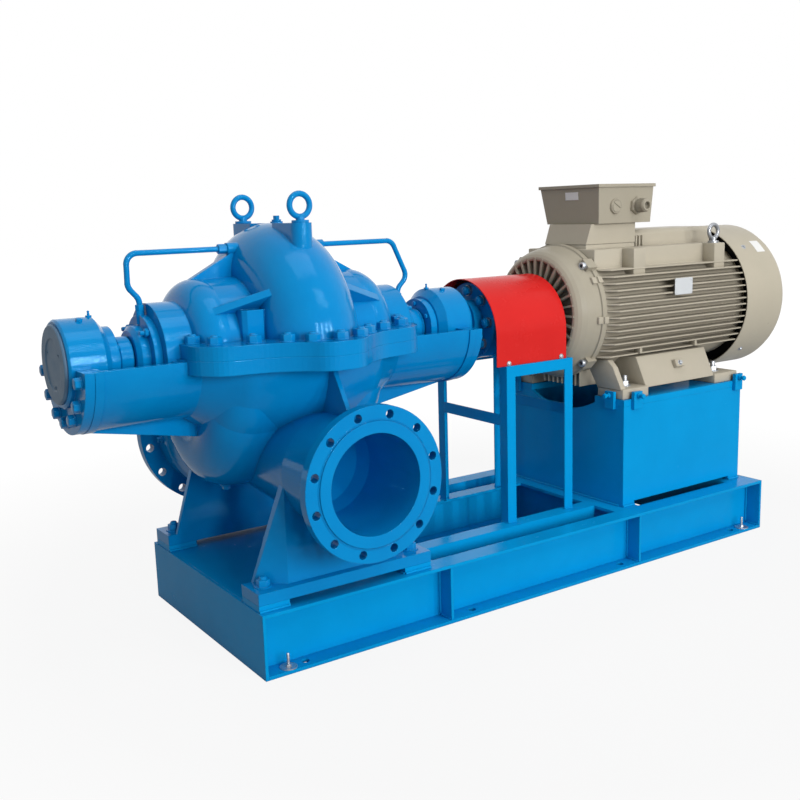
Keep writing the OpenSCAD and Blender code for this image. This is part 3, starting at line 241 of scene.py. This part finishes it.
def nut_on_stud(mesh, place, axis, across, height, washer, stud):
    """Washer, nut and the end of the stud standing out of it, all in millimetres."""
    along = Vector(axis).normalized()
    low = Vector(place)
    if washer:
        hole = across * 0.32
        turned(mesh, low, along,
               [(hole, 0), (washer, 0), (washer, 2.4), (washer - 0.8, 3.2), (hole, 3.2)])
        low = low + along * 3
    hexagon(mesh, low, along, across, height)
    if stud:
        r = across / 3.1
        turned(mesh, low + along * (height - 2), along,
               [(0, 0), (r, 0), (r, stud - 1), (r * 0.8, stud + 2), (0, stud + 2)], 14)


up = (0, 0, 1)
stud_y, washer_z, nut_z, rod_z = -398, 11, 13.5, 13
mesh = bmesh.new()
for x in (-1045, 1048):
    turned(mesh, (x, stud_y, washer_z), up, [(5, 0), (27, 0), (27, 2), (26, 2.8), (5, 2.8)], 28)
    hexagon(mesh, (x, stud_y, nut_z), up, 15, 7)
    turned(mesh, (x, stud_y, rod_z), up, [(0, 0), (4.5, 0), (4.5, 40), (3.6, 42), (0, 42)], 12)
add_piece("levelling_studs", mesh, zinc, "pump_set")

# Pump casing. Two grey iron castings, split along the shaft. Filler and thick enamel
# soften the sand skin, and the fillets run out smoothly into the flanges.
# Glossier than the plates, over the low waves that the filler leaves in the sand skin.
blue_cast = enamel("blue_alkyd_on_sand_casting", "#027CBF", "#038DCE", "#033F80",
                   6, 34, 0.5, 0.09, 0.3, "#8CCBF6")
for name in ("upper_casing", "lower_casing", "bearing_housing_left", "bearing_housing_right",
             "seal_glands", "bearing_inner_covers", "bearing_end_cover_right", "pump_lifting_eyes",
             "vent_plug", "flush_pipe_left", "flush_pipe_right"):
    nodes[name].material_slots[0].material = blue_cast

# Parting flange nuts. Large hexagon nuts on the studs that clamp the upper casing, in a
# row along the flange edge, painted with the pump.
pump_x, parting_top = -825, 967
mesh = bmesh.new()
for x, y in ((0, 410), (81, 388), (137, 340), (222, 295), (322, 248), (358, 170)):
    for side in (-1, 1):
        for end in ((-1, 1) if x else (1,)):
            nut_on_stud(mesh, (pump_x + end * x, side * y, parting_top), up, 38, 20, 23, 5)
add_piece("parting_flange_nuts", mesh, blue_cast, "pump_set")

# Foot bolts of the pump. Hexagon nuts and washers over the four casting feet, on studs that
# are set in the pads of the baseplate.
foot_x, foot_y, foot_top = 262, 345, 256
mesh = bmesh.new()
for x in (-foot_x, foot_x):
    for y in (-foot_y, foot_y):
        nut_on_stud(mesh, (pump_x + x, y, foot_top), up, 36, 20, 27, 8)
add_piece("pump_foot_nuts", mesh, blue_cast, "pump_set")

# Bearing housing bolts. Seven hexagon bolts hold each housing flange to its arm, below
# the shaft joint, with a washer under every head.
shaft_z, housing_circle = 925, 170
mesh = bmesh.new()
for end, face_x in ((-1, -1511), (1, -139)):
    for step in range(7):
        angle = math.radians(12 + 26 * step)
        nut_on_stud(mesh, (face_x, -housing_circle * math.cos(angle),
                           shaft_z - housing_circle * math.sin(angle)), (end, 0, 0), 30, 18, 19, 0)
add_piece("bearing_flange_bolts", mesh, blue_cast, "pump_set")

# Seal gland nuts and bearing cover screws. Studs pull each gland in, and small screws
# hold the inner bearing covers.
gland_x, gland_circle, cover_x, cover_circle = 454, 107, 549, 80
mesh = bmesh.new()
for end in (-1, 1):
    for step in range(4):
        angle = math.radians(45 + 90 * step)
        nut_on_stud(mesh, (pump_x + end * gland_x, gland_circle * math.cos(angle),
                           shaft_z + gland_circle * math.sin(angle)), (end, 0, 0), 22, 12, 0, 14)
    for step in range(6):
        angle = math.radians(30 + 60 * step)
        nut_on_stud(mesh, (pump_x + end * cover_x, cover_circle * math.cos(angle),
                           shaft_z + cover_circle * math.sin(angle)), (-end, 0, 0), 15, 8, 0, 0)
add_piece("gland_nuts", mesh, blue_cast, "pump_set")

# Plugs and grease points of the pump. Hexagon pipe plugs close the gauge and drain
# holes, and a grease nipple stands on each bearing housing.
gauge_way = (-1, 0, -0.08)
grease_x, vent_x, drain_x, drain_y = 600, 640, 172, 80
mesh = bmesh.new()
for gauge_y, nozzle_r in ((-495, 176), (495, 226)):
    turned(mesh, (pump_x - nozzle_r + 4, gauge_y, 550), gauge_way,
           [(0, 0), (16, 0), (16, 8), (14, 10), (0, 10)], 18)
    hexagon(mesh, (pump_x - nozzle_r - 5, gauge_y, 549), gauge_way, 19, 12)
for end in (-1, 1):
    turned(mesh, (pump_x + end * grease_x, 0, 1052), up, [(0, 0), (9, 0), (9, 6), (0, 6)], 14)
    turned(mesh, (pump_x + end * grease_x, 0, 1057), up,
           [(0, 0), (4, 0), (4, 6), (2.6, 8), (4, 11), (3.4, 14), (0, 15)], 14)
    hexagon(mesh, (pump_x + end * vent_x, -40, 1046), (0, -0.3, 1), 17, 10)
    turned(mesh, (pump_x + end * drain_x, drain_y, 470), (0, 0, -1),
           [(0, 0), (20, 0), (20, 12), (18, 14), (0, 14)], 18)
    hexagon(mesh, (pump_x + end * drain_x, drain_y, 457), (0, 0, -1), 24, 13)
add_piece("pump_plugs", mesh, blue_cast, "pump_set")

# Flange face rings. The tool leaves fine ridges round the raised face of each nozzle, and
# the paint does not fill them.
face_y, nozzle_z = 571.5, 565
mesh = bmesh.new()
for side, radii in ((-1, (187, 190.5)), (1, (245, 249))):
    for r in radii:
        turned(mesh, (pump_x, side * face_y, nozzle_z), (0, side, 0),
               [(r - 0.9, 0), (r - 0.5, 1.6), (r + 0.5, 1.6), (r + 0.9, 0)], 96)
add_piece("flange_face_rings", mesh, blue_cast, "pump_set")

# Left bearing end cover. A machined disc coloured a slate grey-blue, greyer and darker
# than the pump blue, and a turned step round its middle.
# The slate coat is dull and even, between blue and grey, with painted shade in its corners.
slate = enamel("slate_grey_coat_on_turned_steel", "#55748F", "#638099", "#364B60", 5, 40, 0.2, 0.34)
nodes["bearing_end_cover_left"].material_slots[0].material = slate
cover_face_x, screw_circle = -1534.6, 66
mesh = bmesh.new()
for step in range(3):
    angle = math.radians(30 + 120 * step)
    turned(mesh, (cover_face_x, screw_circle * math.cos(angle), shaft_z + screw_circle * math.sin(angle)),
           (-1, 0, 0), [(0, 0), (5, 0), (5, 1.6), (4, 2.4), (2.4, 2.4), (2.4, 0.8), (0, 0.8)], 14)
add_piece("end_cover_screws", mesh, slate, "pump_set")

# Coupling. Two grey iron flanges on the shaft ends, joined by steel pins in rubber
# sleeves, with a nut on the pump side of each pin.
for name in ("pump_shaft", "coupling_pump_half", "coupling_motor_half"):
    nodes[name].material_slots[0].material = blue_cast
steel = bpy.data.materials.new("turned_carbon_steel")
steel.use_nodes = True
shader = steel.node_tree.nodes["Principled BSDF"]
# Turned steel shows fine rings round the shaft line and a thin film of oil.
place = add_node(steel, "ShaderNodeTexCoord").outputs["Object"]
ring_wave = add_node(steel, "ShaderNodeTexWave",
                     {"Vector": place, "Scale": 1000 / 5, "Distortion": 1.0})
film = add_node(steel, "ShaderNodeTexNoise", {"Vector": place, "Scale": 1000 / 30, "Detail": 3.0})
tint = add_node(steel, "ShaderNodeMix", {0: film.outputs["Fac"]}, data_type="RGBA")
tint.inputs[6].default_value = linear("#8E9196")
tint.inputs[7].default_value = linear("#B2B5BA")
steel.node_tree.links.new(tint.outputs[2], shader.inputs["Base Color"])
cut = add_node(steel, "ShaderNodeBump", {"Height": ring_wave.outputs["Fac"], "Distance": 0.00008})
steel.node_tree.links.new(cut.outputs["Normal"], shader.inputs["Normal"])
shader.inputs["Metallic"].default_value = 0.9
shader.inputs["Roughness"].default_value = 0.36
for name in ("coupling_pins", "motor_shaft", "motor_lifting_eyes"):
    nodes[name].material_slots[0].material = steel
coupling_face_x, pin_circle = -43, 110
mesh = bmesh.new()
for step in range(8):
    angle = math.radians(45 * step)
    nut_on_stud(mesh, (coupling_face_x, pin_circle * math.sin(angle), shaft_z + pin_circle * math.cos(angle)),
                (-1, 0, 0), 30, 13, 0, 3)
add_piece("coupling_pin_nuts", mesh, blue_cast, "rotor")

# Shaft sleeves. Painted sleeves over the shaft between each gland and bearing, with a
# turned groove near the bearing. They run with the shaft.
sleeve_x = 494.5
mesh = bmesh.new()
for end in (-1, 1):
    turned(mesh, (pump_x + end * sleeve_x, 0, shaft_z), (end, 0, 0),
           [(49, 0), (61, 0), (63, 2), (63, 38), (60, 40), (60, 44), (63, 46), (63, 50), (61, 52),
            (49, 52)], 48)
add_piece("shaft_sleeves", mesh, blue_cast, "rotor")

# Coupling guard. A red hood of rolled sheet stands on two frames of blue angle bar and
# is held by four zinc plated screws through its lower edge.
# Gloss red alkyd on thin sheet: flat, with the wide waves of the rolls under the coat.
red_sheet = enamel("red_alkyd_on_rolled_sheet", "#CC211F", "#D82826", "#7C1013", 5, 90, 0.6, 0.24)
nodes["guard_hood"].material_slots[0].material = red_sheet
for name in ("guard_stand_front", "guard_stand_rear", "guard_cross_bars"):
    nodes[name].material_slots[0].material = blue_plate
hood_y, screw_z, bar_y, bar_low = 197, 783, 187, 770
mesh = bmesh.new()
for x in (-14, 236):
    for side in (-1, 1):
        turned(mesh, (x, side * hood_y, screw_z), (0, side, 0), [(0, 0), (10, 0), (10, 1.6), (0, 1.6)], 18)
        hexagon(mesh, (x, side * (hood_y + 1.4), screw_z), (0, side, 0), 13, 5)
        hexagon(mesh, (x, side * bar_y, bar_low), (0, 0, -1), 13, 7)
add_piece("guard_screws", mesh, zinc, "pump_set")

# Motor pedestal. A box of thick plate with two machined rails on top. Jack bolts in the
# lugs push the motor feet into line, each with a lock nut.
for name in ("pedestal_side_plates", "pedestal_end_plates", "pedestal_top_rails",
             "motor_jacking_lugs"):
    nodes[name].material_slots[0].material = blue_plate


def jack_bolt(mesh, place, axis):
    """Lock nut, bare thread and head, from the outer face of a lug outwards."""
    along = Vector(axis)
    low = Vector(place)
    hexagon(mesh, low, along, 18, 8)
    turned(mesh, low, along, [(0, 0), (6, 0), (6, 22), (0, 22)], 14)
    hexagon(mesh, low + along * 20, along, 18, 8)


bolt_z, end_bolt_y, side_bolt_y = 624, 268, 344
mesh = bmesh.new()
for side in (-1, 1):
    for x, end in ((413, -1), (1116, 1)):
        jack_bolt(mesh, (x, side * end_bolt_y, bolt_z), (end, 0, 0))
    for x in (489, 1074):
        jack_bolt(mesh, (x, side * side_bolt_y, bolt_z), (0, side, 0))
add_piece("jack_bolts", mesh, blue_plate, "pump_set")

# Motor. A finned grey iron frame with end shields, a sheet fan cowl and a pressed terminal
# box, all sprayed with stone grey machine enamel.
# Satin stone grey on the castings: the sand skin shows, and painted shade darkens the gaps between the fins.
grey_cast = enamel("stone_grey_enamel_on_casting", "#B0A998", "#BBB3A2", "#5C564C",
                   5, 30, 0.7, 0.36)
for name in ("motor_frame", "motor_rear_shield", "terminal_neck"):
    nodes[name].material_slots[0].material = grey_cast
# The terminal box is a darker grey, and the drive end shield takes the same grey as painted shade for its
# side turned from the light.
grey_box = enamel("dark_stone_grey_enamel", "#A29B8B", "#ACA594", "#7A7467", 5, 80, 0.3, 0.34)
for name in ("terminal_box", "terminal_lid", "motor_drive_shield"):
    nodes[name].material_slots[0].material = grey_box
# The cowl is smooth sheet, so the same grey is a little glossier on it, with a lighter painted shade in its
# corners.
grey_sheet = enamel("stone_grey_enamel_on_sheet", "#B3AC9A", "#BDB5A3", "#857E70",
                    5, 110, 0.4, 0.32)
nodes["motor_fan_cowl"].material_slots[0].material = grey_sheet


# Motor frame. One casting: the tips of its fins follow the circle of the fan cowl, and the
# saddle, ridge, lifting bosses and feet are cast on, with rounded edges from the mould.
def extruded(mesh, outline, along, soft):
    """Outline of points pushed along a vector, in millimetres, with softened edges."""
    face = mesh.faces.new([mesh.verts.new(Vector(p) / 1000) for p in outline])
    made = bmesh.ops.extrude_face_region(mesh, geom=[face])["geom"]
    grown = [v for v in made if isinstance(v, bmesh.types.BMVert)]
    bmesh.ops.translate(mesh, verts=grown, vec=Vector(along) / 1000)
    bmesh.ops.bevel(mesh, geom=list({e for v in grown + list(face.verts) for e in v.link_edges}),
                    offset=soft / 1000, offset_type="OFFSET", segments=2, profile=0.5,
                    affect="EDGES", material=-1)


def block(mesh, low, high, soft):
    """Block between two corners, in millimetres, with softened edges."""
    (x0, y0, z0), (x1, y1, z1) = low, high
    extruded(mesh, [(x0, y0, z0), (x1, y0, z0), (x1, y1, z0), (x0, y1, z0)], (0, 0, z1 - z0), soft)


frame_x, frame_l, barrel_r, bore_r, cowl_x = 412, 789, 250, 72, 1171
fin_circle, fin_pitch, fin_t, fin_back, lowest_fin = 295, 25, 6, 40, -165.5
saddle_top, saddle_w, ridge_x, ridge_l, ridge_w, ridge_top = 1163, 185, 702, 456, 110, 1227
ridge_cut, rib_w, boss_l, foot_low, foot_top, foot_l = 14, 122, 64, 610, 648, 138
mesh = bmesh.new()
turned(mesh, (frame_x, 0, shaft_z), (1, 0, 0),
       [(bore_r, 0), (barrel_r, 0), (barrel_r, frame_l), (bore_r, frame_l)], 96)
# Side fins, their tips on the circle, and upright fins below the barrel.
for step in range(14):
    rise = fin_pitch * step + lowest_fin
    tip = math.sqrt(fin_circle ** 2 - (rise + fin_t / 2) ** 2)
    extruded(mesh, [(x, y, shaft_z + rise) for x, y in (
        (frame_x, fin_back - tip), (frame_x + 28, -tip), (cowl_x, -tip),
        (cowl_x, tip), (frame_x + 28, tip), (frame_x, tip - fin_back))], (0, 0, fin_t), 1.5)
for step in range(9):
    y = fin_pitch * (step - 4)
    block(mesh, (422, y - fin_t / 2, 635), (1121, y + fin_t / 2, 715), 1.5)
# Saddle, seat of the terminal neck, ridge and the short ribs at its end.
block(mesh, (frame_x + 4, -saddle_w, shaft_z), (1138, saddle_w, saddle_top), 5)
block(mesh, (426, -130, shaft_z), (690, 97, 1180), 4)
extruded(mesh, [(ridge_x, y, z) for y, z in (
    (-ridge_w, shaft_z), (ridge_w, shaft_z), (ridge_w, ridge_top - ridge_cut),
    (ridge_w - ridge_cut, ridge_top), (ridge_cut - ridge_w, ridge_top),
    (-ridge_w, ridge_top - ridge_cut))], (ridge_l, 0, 0), 3)
for x in (703, 722, 741):
    block(mesh, (x, -rib_w, 1150), (x + 9, rib_w, 1204), 2)
# Lifting bosses, foot pads, the slope that bridges them, the drive end rib and small pads.
for side in (-1, 1):
    for x in (562, 1024):
        block(mesh, (x, side * 245, 1062), (x + boss_l, side * 155, saddle_top), 4)
    for x in (435, 956):
        block(mesh, (x, side * 317, foot_low), (x + foot_l, side * 187, foot_top), 3)
    extruded(mesh, [(568, side * y, z) for y, z in ((310, 640), (187, 640), (117, 752), (256, 752))],
             (393, 0, 0), 3)
    extruded(mesh, [(435, side * y, z) for y, z in (
        (311, 640), (187, 640), (117, 745), (238, 752), (266, 726))], (26, 0, 0), 3)
    for x in (590, 905):
        block(mesh, (x, side * 256, 762), (x + 14, side * 225, 790), 2)
frame_casting = add_piece("motor_frame_casting", mesh, grey_cast, "pump_set")
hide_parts("motor_frame")

# Motor fan. A moulded black wheel on the shaft inside the cowl: a disc that almost fills
# the cowl, a hub, and nine straight blades that work in both directions.
# Black polypropylene, matt from the mould, with a little painted shade in the corners near the hub.
fan_plastic = enamel("black_moulded_fan", "#17181A", "#1F2023", "#0C0D0E", 4, 30, 0.1, 0.45)
nodes["motor_fan"].material_slots[0].material = fan_plastic
fan_x, fan_bore, fan_w, blades, blade_t = 1231, 42.5, 70, 9, 5
mesh = bmesh.new()
turned(mesh, (fan_x, 0, shaft_z), (1, 0, 0),
       [(fan_bore, 0), (262, 0), (276, 5), (282, 12), (279, 13), (272, 9), (260, 5), (66, 5),
        (64, fan_w), (fan_bore, fan_w)], 64)
for step in range(blades):
    angle = math.radians(360 / blades * step)
    out = Vector((0, math.sin(angle), math.cos(angle)))
    across = Vector((1, 0, 0)).cross(out)
    extruded(mesh, [Vector((x, 0, shaft_z)) + out * r - across * blade_t / 2
                    for x, r in ((1234, 60), (1299, 60), (1299, 215), (1276, 258), (1234, 258))],
             across * blade_t, 1)
fan_wheel = add_piece("fan_wheel", mesh, fan_plastic, "rotor")
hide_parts("motor_fan")

# Motor foot nuts. Zinc plated studs come up through the rails, and a nut with a washer
# holds each foot down.
hold_down_y = 254
mesh = bmesh.new()
for x in (510, 1019):
    for side in (-1, 1):
        nut_on_stud(mesh, (x, side * hold_down_y, foot_top), up, 30, 17, 24, 20)
add_piece("motor_foot_nuts", mesh, zinc, "pump_set")

# Earth terminals. A faced boss is cast on the slope of the front and the rear foot, and
# holds a zinc plated screw with a washer for the earth strap.
boss_size = (0.03, 0.044, 0.034, 1)
mesh = bmesh.new()
screws = bmesh.new()
for side in (-1, 1):
    slope = Vector((0, side * 0.908, 0.419))
    low = Vector((772, side * 280, 706))
    stand = Matrix.Translation(low / 1000) @ slope.to_track_quat("Z", "X").to_matrix().to_4x4()
    made = bmesh.ops.create_cube(mesh, size=1, matrix=stand @ Matrix.Diagonal(boss_size))["verts"]
    outer = {v for v in made if (v.co - low / 1000).dot(slope) > 0}
    rim = [e for e in {e for v in outer for e in v.link_edges} if set(e.verts) <= outer]
    bmesh.ops.bevel(mesh, geom=rim, offset=0.003, offset_type="OFFSET", segments=3, profile=0.5,
                    affect="EDGES", material=-1)
    turned(screws, low + slope * 16.5, slope,
           [(0, 0), (10, 0), (10, 1.6), (9, 2.4), (0, 2.4)], 18)
    hexagon(screws, low + slope * 18.6, slope, 14, 7)
add_piece("earth_bosses", mesh, grey_cast, "pump_set")
add_piece("earth_screws", screws, zinc, "pump_set")

# End shield screws. Zinc plated socket head screws in the four lugs of the drive end
# shield, each with a near black hexagon disc in its socket as painted shade, and cast pry pads across the
# joint.
# Painted shade in the sockets: a thin near black hexagon disc with a little gloss stands in for the shade
# deep in each hole.
socket_shade = enamel("painted_socket_shade", "#2A2B2D", "#36373A", "#151617", 4, 20, 0.05, 0.38)
lug_x, lug_circle, pad_low, pad_half_w, pad_run = 365, 257, 235, 13, 22
mesh = bmesh.new()
sockets = bmesh.new()
pads = bmesh.new()
for step in range(4):
    angle = math.radians(45 + 90 * step)
    place = Vector((lug_x, lug_circle * math.sin(angle), shaft_z + lug_circle * math.cos(angle)))
    turned(mesh, place, (-1, 0, 0),
           [(0, 0), (14, 0), (14, 13), (13, 14.5), (7.5, 14.5), (7.5, 6), (0, 6)], 20)
    turned(sockets, place - Vector((5.5, 0, 0)), (-1, 0, 0),
           [(0, 0), (7.6, 0), (7.6, 1.5), (0, 1.5)], 6)
for turn in (60, 94, 266, 300):
    out = Vector((0, math.sin(math.radians(turn)), math.cos(math.radians(turn))))
    across = Vector((1, 0, 0)).cross(out)
    for x, high in ((368, 259), (394, 264)):
        extruded(pads, [Vector((x, 0, shaft_z)) + out * r + across * w for r, w in (
            (pad_low, -pad_half_w), (high, -pad_half_w), (high, pad_half_w), (pad_low, pad_half_w))],
                 (pad_run, 0, 0), 2)
add_piece("shield_screws", mesh, zinc, "pump_set")
add_piece("shield_sockets", sockets, socket_shade, "pump_set")
add_piece("shield_pry_pads", pads, grey_cast, "pump_set")

# Fan cowl screws. Four zinc plated washer head screws near the frame end of the cowl, which
# go into lugs of the rear shield.
cowl_screw_x, cowl_r = 1248, 299.5
mesh = bmesh.new()
for step in range(4):
    angle = math.radians(45 + 90 * step)
    out = Vector((0, math.sin(angle), math.cos(angle)))
    middle = Vector((cowl_screw_x, 0, shaft_z))
    turned(mesh, middle + out * cowl_r, out, [(0, 0), (11, 0), (11, 1.5), (9, 2.5), (0, 2.5)], 18)
    hexagon(mesh, middle + out * (cowl_r + 2), out, 12, 5)
add_piece("cowl_screws", mesh, zinc, "pump_set")

# Cable gland. A plated brass gland in the box front, with a hexagon body, a fluted dome
# nut and an open throat for the cable that the set is shipped without.
cable_x, plug_x, entry_z, box_face_y, front = 665, 554, 1320, -153, (0, -1, 0)
mesh = bmesh.new()
hexagon(mesh, (cable_x, box_face_y, entry_z), front, 58, 17)
turned(mesh, (cable_x, -168, entry_z), front, [(0, 0), (25, 0), (25, 12), (0, 12)], 24)
stand = (Matrix.Translation((cable_x / 1000, -0.191, entry_z / 1000))
         @ Matrix.Rotation(math.pi / 2, 4, "X"))
made = bmesh.ops.create_cone(mesh, cap_ends=True, segments=24, radius1=0.027, radius2=0.025,
                             depth=0.026, matrix=stand)["verts"]
flutes = [f for f in {f for v in made for f in v.link_faces} if abs(f.normal.y) < 0.5]
bmesh.ops.inset_individual(mesh, faces=flutes, thickness=0.0012, depth=-0.0012)
turned(mesh, (cable_x, -202, entry_z), front,
       [(0, 0), (24, 0), (23, 8), (20, 13), (15, 13), (14, 12), (14, 2), (0, 2)], 24)
gland = add_piece("cable_gland_body", mesh, grey_box, "pump_set")
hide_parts("cable_gland")

# Blanking plug. A moulded disc with a coin slot, screwed into the spare cable entry. Two half
# round pads leave the slot between them.
mesh = bmesh.new()
turned(mesh, (plug_x, box_face_y, entry_z), front,
       [(0, 0), (29, 0), (29, 8), (27, 11), (24, 11), (23, 9.5), (0, 9.5)], 32)
centre = Vector((plug_x, -162.5, entry_z)) / 1000
slot_turn, half_slot, pad_r, pad_h = 1.0, 0.0022, 0.02, 0.0022
for turn in (0, math.pi):
    across = Vector((math.cos(turn + slot_turn), 0, math.sin(turn + slot_turn)))
    line = [mesh.verts.new(centre + across * half_slot + Quaternion(front, math.radians(a)) @ across * pad_r)
            for a in range(-84, 85, 12)]
    face = mesh.faces.new(line)
    pad = bmesh.ops.extrude_face_region(mesh, geom=[face])["geom"]
    bmesh.ops.translate(mesh, verts=[v for v in pad if isinstance(v, bmesh.types.BMVert)],
                        vec=(0, -pad_h, 0))
plug = add_piece("blanking_plug_disc", mesh, grey_box, "pump_set")
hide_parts("blanking_plug")

# Blank plates. A bare aluminium plate riveted over the fins, and plain white plates on
# the terminal box and the fan cowl, with nothing written on them.
# Lacquered aluminium: pale, even and a little dull.
plate_metal = enamel("brushed_aluminium_plate", "#C6CACD", "#D6D9DB", "#8A8E92", 3, 50, 0.05, 0.4)
plate_place, plate_size = (0.784, -0.2962, 1.010), (0.1, 0.0018, 0.064, 1)
mesh = bmesh.new()
bmesh.ops.create_cube(mesh, size=1, matrix=Matrix.Translation(plate_place) @ Matrix.Diagonal(plate_size))
upright = [e for e in mesh.edges if abs(e.verts[0].co.y - e.verts[1].co.y) > 0.001]
bmesh.ops.bevel(mesh, geom=upright, offset=0.006, offset_type="OFFSET", segments=4, profile=0.5,
                affect="EDGES", material=-1)
for x in (742, 826):
    for z in (986, 1034):
        turned(mesh, (x, -297, z), front, [(0, 0), (3.5, 0), (2.6, 1.4), (0, 1.8)], 12)
add_piece("fin_plate", mesh, plate_metal, "pump_set")
# White vinyl, smooth and faintly glossy. One lies on the drafted box wall, one on the cowl.
white_plate = enamel("white_vinyl_plate", "#E4E4E2", "#EEEEEC", "#A8A8A6", 3, 40, 0.02, 0.35)
box_place, box_draft, box_plate = (0.4632, -0.015, 1.362), -3.4, (0.0014, 0.07, 0.03, 1)
cowl_place, cowl_turn, cowl_sweep = 1.2254, 39, 12
mesh = bmesh.new()
bmesh.ops.create_cube(mesh, size=1, matrix=Matrix.Translation(box_place)
                      @ Matrix.Rotation(math.radians(box_draft), 4, "Y") @ Matrix.Diagonal(box_plate))
line = [mesh.verts.new((x / 1000, 0, cowl_place)) for x in (1312, 1326, 1340, 1354, 1364)]
edges = [mesh.edges.new(pair) for pair in zip(line, line[1:])]
axle = (0, 0, shaft_z / 1000)
bmesh.ops.rotate(mesh, verts=line, cent=axle, matrix=Matrix.Rotation(math.radians(cowl_turn), 3, "X"))
bmesh.ops.spin(mesh, geom=line + edges, cent=axle, axis=(1, 0, 0), dvec=(0, 0, 0),
               angle=math.radians(cowl_sweep), steps=10)
add_piece("blank_plates", mesh, white_plate, "pump_set")

# Floor, light and camera. A pale studio floor that fades to white, a row of tall windows
# and of roof lights in front, a soft skylight, a window at the back and the photo's view.
mesh = bmesh.new()
bmesh.ops.create_grid(mesh, x_segments=1, y_segments=1, size=30)
floor_data = bpy.data.meshes.new("floor")
mesh.to_mesh(floor_data)
mesh.free()
floor = bpy.data.objects.new("floor", floor_data)
bpy.context.collection.objects.link(floor)
# Seen by the camera the floor is mostly white of its own, and keeps a soft shadow.
pale = bpy.data.materials.new("white_studio_floor")
pale.use_nodes = True
shader = pale.node_tree.nodes["Principled BSDF"]
shader.inputs["Base Color"].default_value = linear("#9A9A9A")
shader.inputs["Roughness"].default_value = 0.9
shader.inputs["Specular IOR Level"].default_value = 0.0
path = add_node(pale, "ShaderNodeLightPath")
mirrored = add_node(pale, "ShaderNodeMath", {0: path.outputs["Is Glossy Ray"], 1: 0.35},
                    operation="MULTIPLY")
seen = add_node(pale, "ShaderNodeMath",
                {0: path.outputs["Is Camera Ray"], 1: mirrored.outputs[0]}, operation="MAXIMUM")
seen = add_node(pale, "ShaderNodeMath",
                {0: seen.outputs[0], 1: path.outputs["Is Transmission Ray"]}, operation="MAXIMUM")
spot = add_node(pale, "ShaderNodeTexCoord").outputs["Object"]
far = add_node(pale, "ShaderNodeVectorMath", {0: spot}, operation="LENGTH")
fade = add_node(pale, "ShaderNodeMapRange",
                {"Value": far.outputs["Value"], "From Min": 1.6, "From Max": 4.0,
                 "To Min": 0.85, "To Max": 1.0})
share = add_node(pale, "ShaderNodeMath", {0: seen.outputs[0], 1: fade.outputs["Result"]},
                 operation="MULTIPLY")
glow = add_node(pale, "ShaderNodeEmission", {"Strength": 1.06})
both = add_node(pale, "ShaderNodeMixShader",
                {0: share.outputs[0], 1: shader.outputs["BSDF"], 2: glow.outputs["Emission"]})
surface = pale.node_tree.nodes["Material Output"].inputs["Surface"]
pale.node_tree.links.new(both.outputs["Shader"], surface)
floor_data.materials.append(pale)

# The world is a dim fill for the object and plain white where it is seen or mirrored.
world = bpy.data.worlds.new("studio")
bpy.context.scene.world = world
world.use_nodes = True
path = add_node(world, "ShaderNodeLightPath")
seen = add_node(world, "ShaderNodeMath",
                {0: path.outputs["Is Camera Ray"], 1: path.outputs["Is Glossy Ray"]}, operation="MAXIMUM")
seen = add_node(world, "ShaderNodeMath",
                {0: seen.outputs[0], 1: path.outputs["Is Transmission Ray"]}, operation="MAXIMUM")
level = add_node(world, "ShaderNodeMapRange",
                 {"Value": seen.outputs[0], "To Min": 0.31, "To Max": 1.0})
sky = world.node_tree.nodes["Background"]
sky.inputs["Color"].default_value = (1, 1, 1, 1)
world.node_tree.links.new(level.outputs["Result"], sky.inputs["Strength"])


def lamp(name, place, target, power, width, height):
    """Area lamp at a place, facing a target, in watts and metres."""
    data = bpy.data.lights.new(name, "AREA")
    data.shape = "RECTANGLE"
    data.energy = power
    data.size = width
    data.size_y = height
    made = bpy.data.objects.new(name, data)
    bpy.context.collection.objects.link(made)
    made.location = place
    made.rotation_euler = (Vector(target) - Vector(place)).to_track_quat("-Z", "Y").to_euler()
    return made


middle = (-0.1, 0, 0.6)
for step in range(4):
    lamp("window_%d" % step, (-2.3 + 1.6 * step, -8.2, 2.4), middle, 124, 0.22, 2.6)
for step in range(5):
    lamp("roof_light_%d" % step, (-0.2 + 0.55 * step, -5.6, 5.9), (-0.3, 0, 0.9), 14, 0.12, 2.2)
lamp("skylight", (-0.6, -1.2, 6.2), (-0.6, -0.2, 0.5), 70, 4.0, 2.5)
# The window at the back lights the far side only, and leaves no glare on the near edges.
back = lamp("back_window", (0.5, 7.5, 4.5), middle, 190, 3.0, 2.0)
back.visible_glossy = False

lens = bpy.data.cameras.new("camera")
lens.sensor_width = 36
lens.lens = 45.26
camera = bpy.data.objects.new("camera", lens)
bpy.context.collection.objects.link(camera)
camera.location = (-2.304, -2.904, 1.326)
turn, tilt, roll = math.radians(33.92), math.radians(10.63), math.radians(-1.75)
level_way = math.cos(tilt)
look = Vector((math.sin(turn) * level_way, math.cos(turn) * level_way, -math.sin(tilt)))
camera.rotation_euler = (look.to_track_quat("-Z", "Y") @ Quaternion((0, 0, 1), roll)).to_euler()
bpy.context.scene.camera = camera
bpy.context.scene.view_settings.view_transform = "Standard"
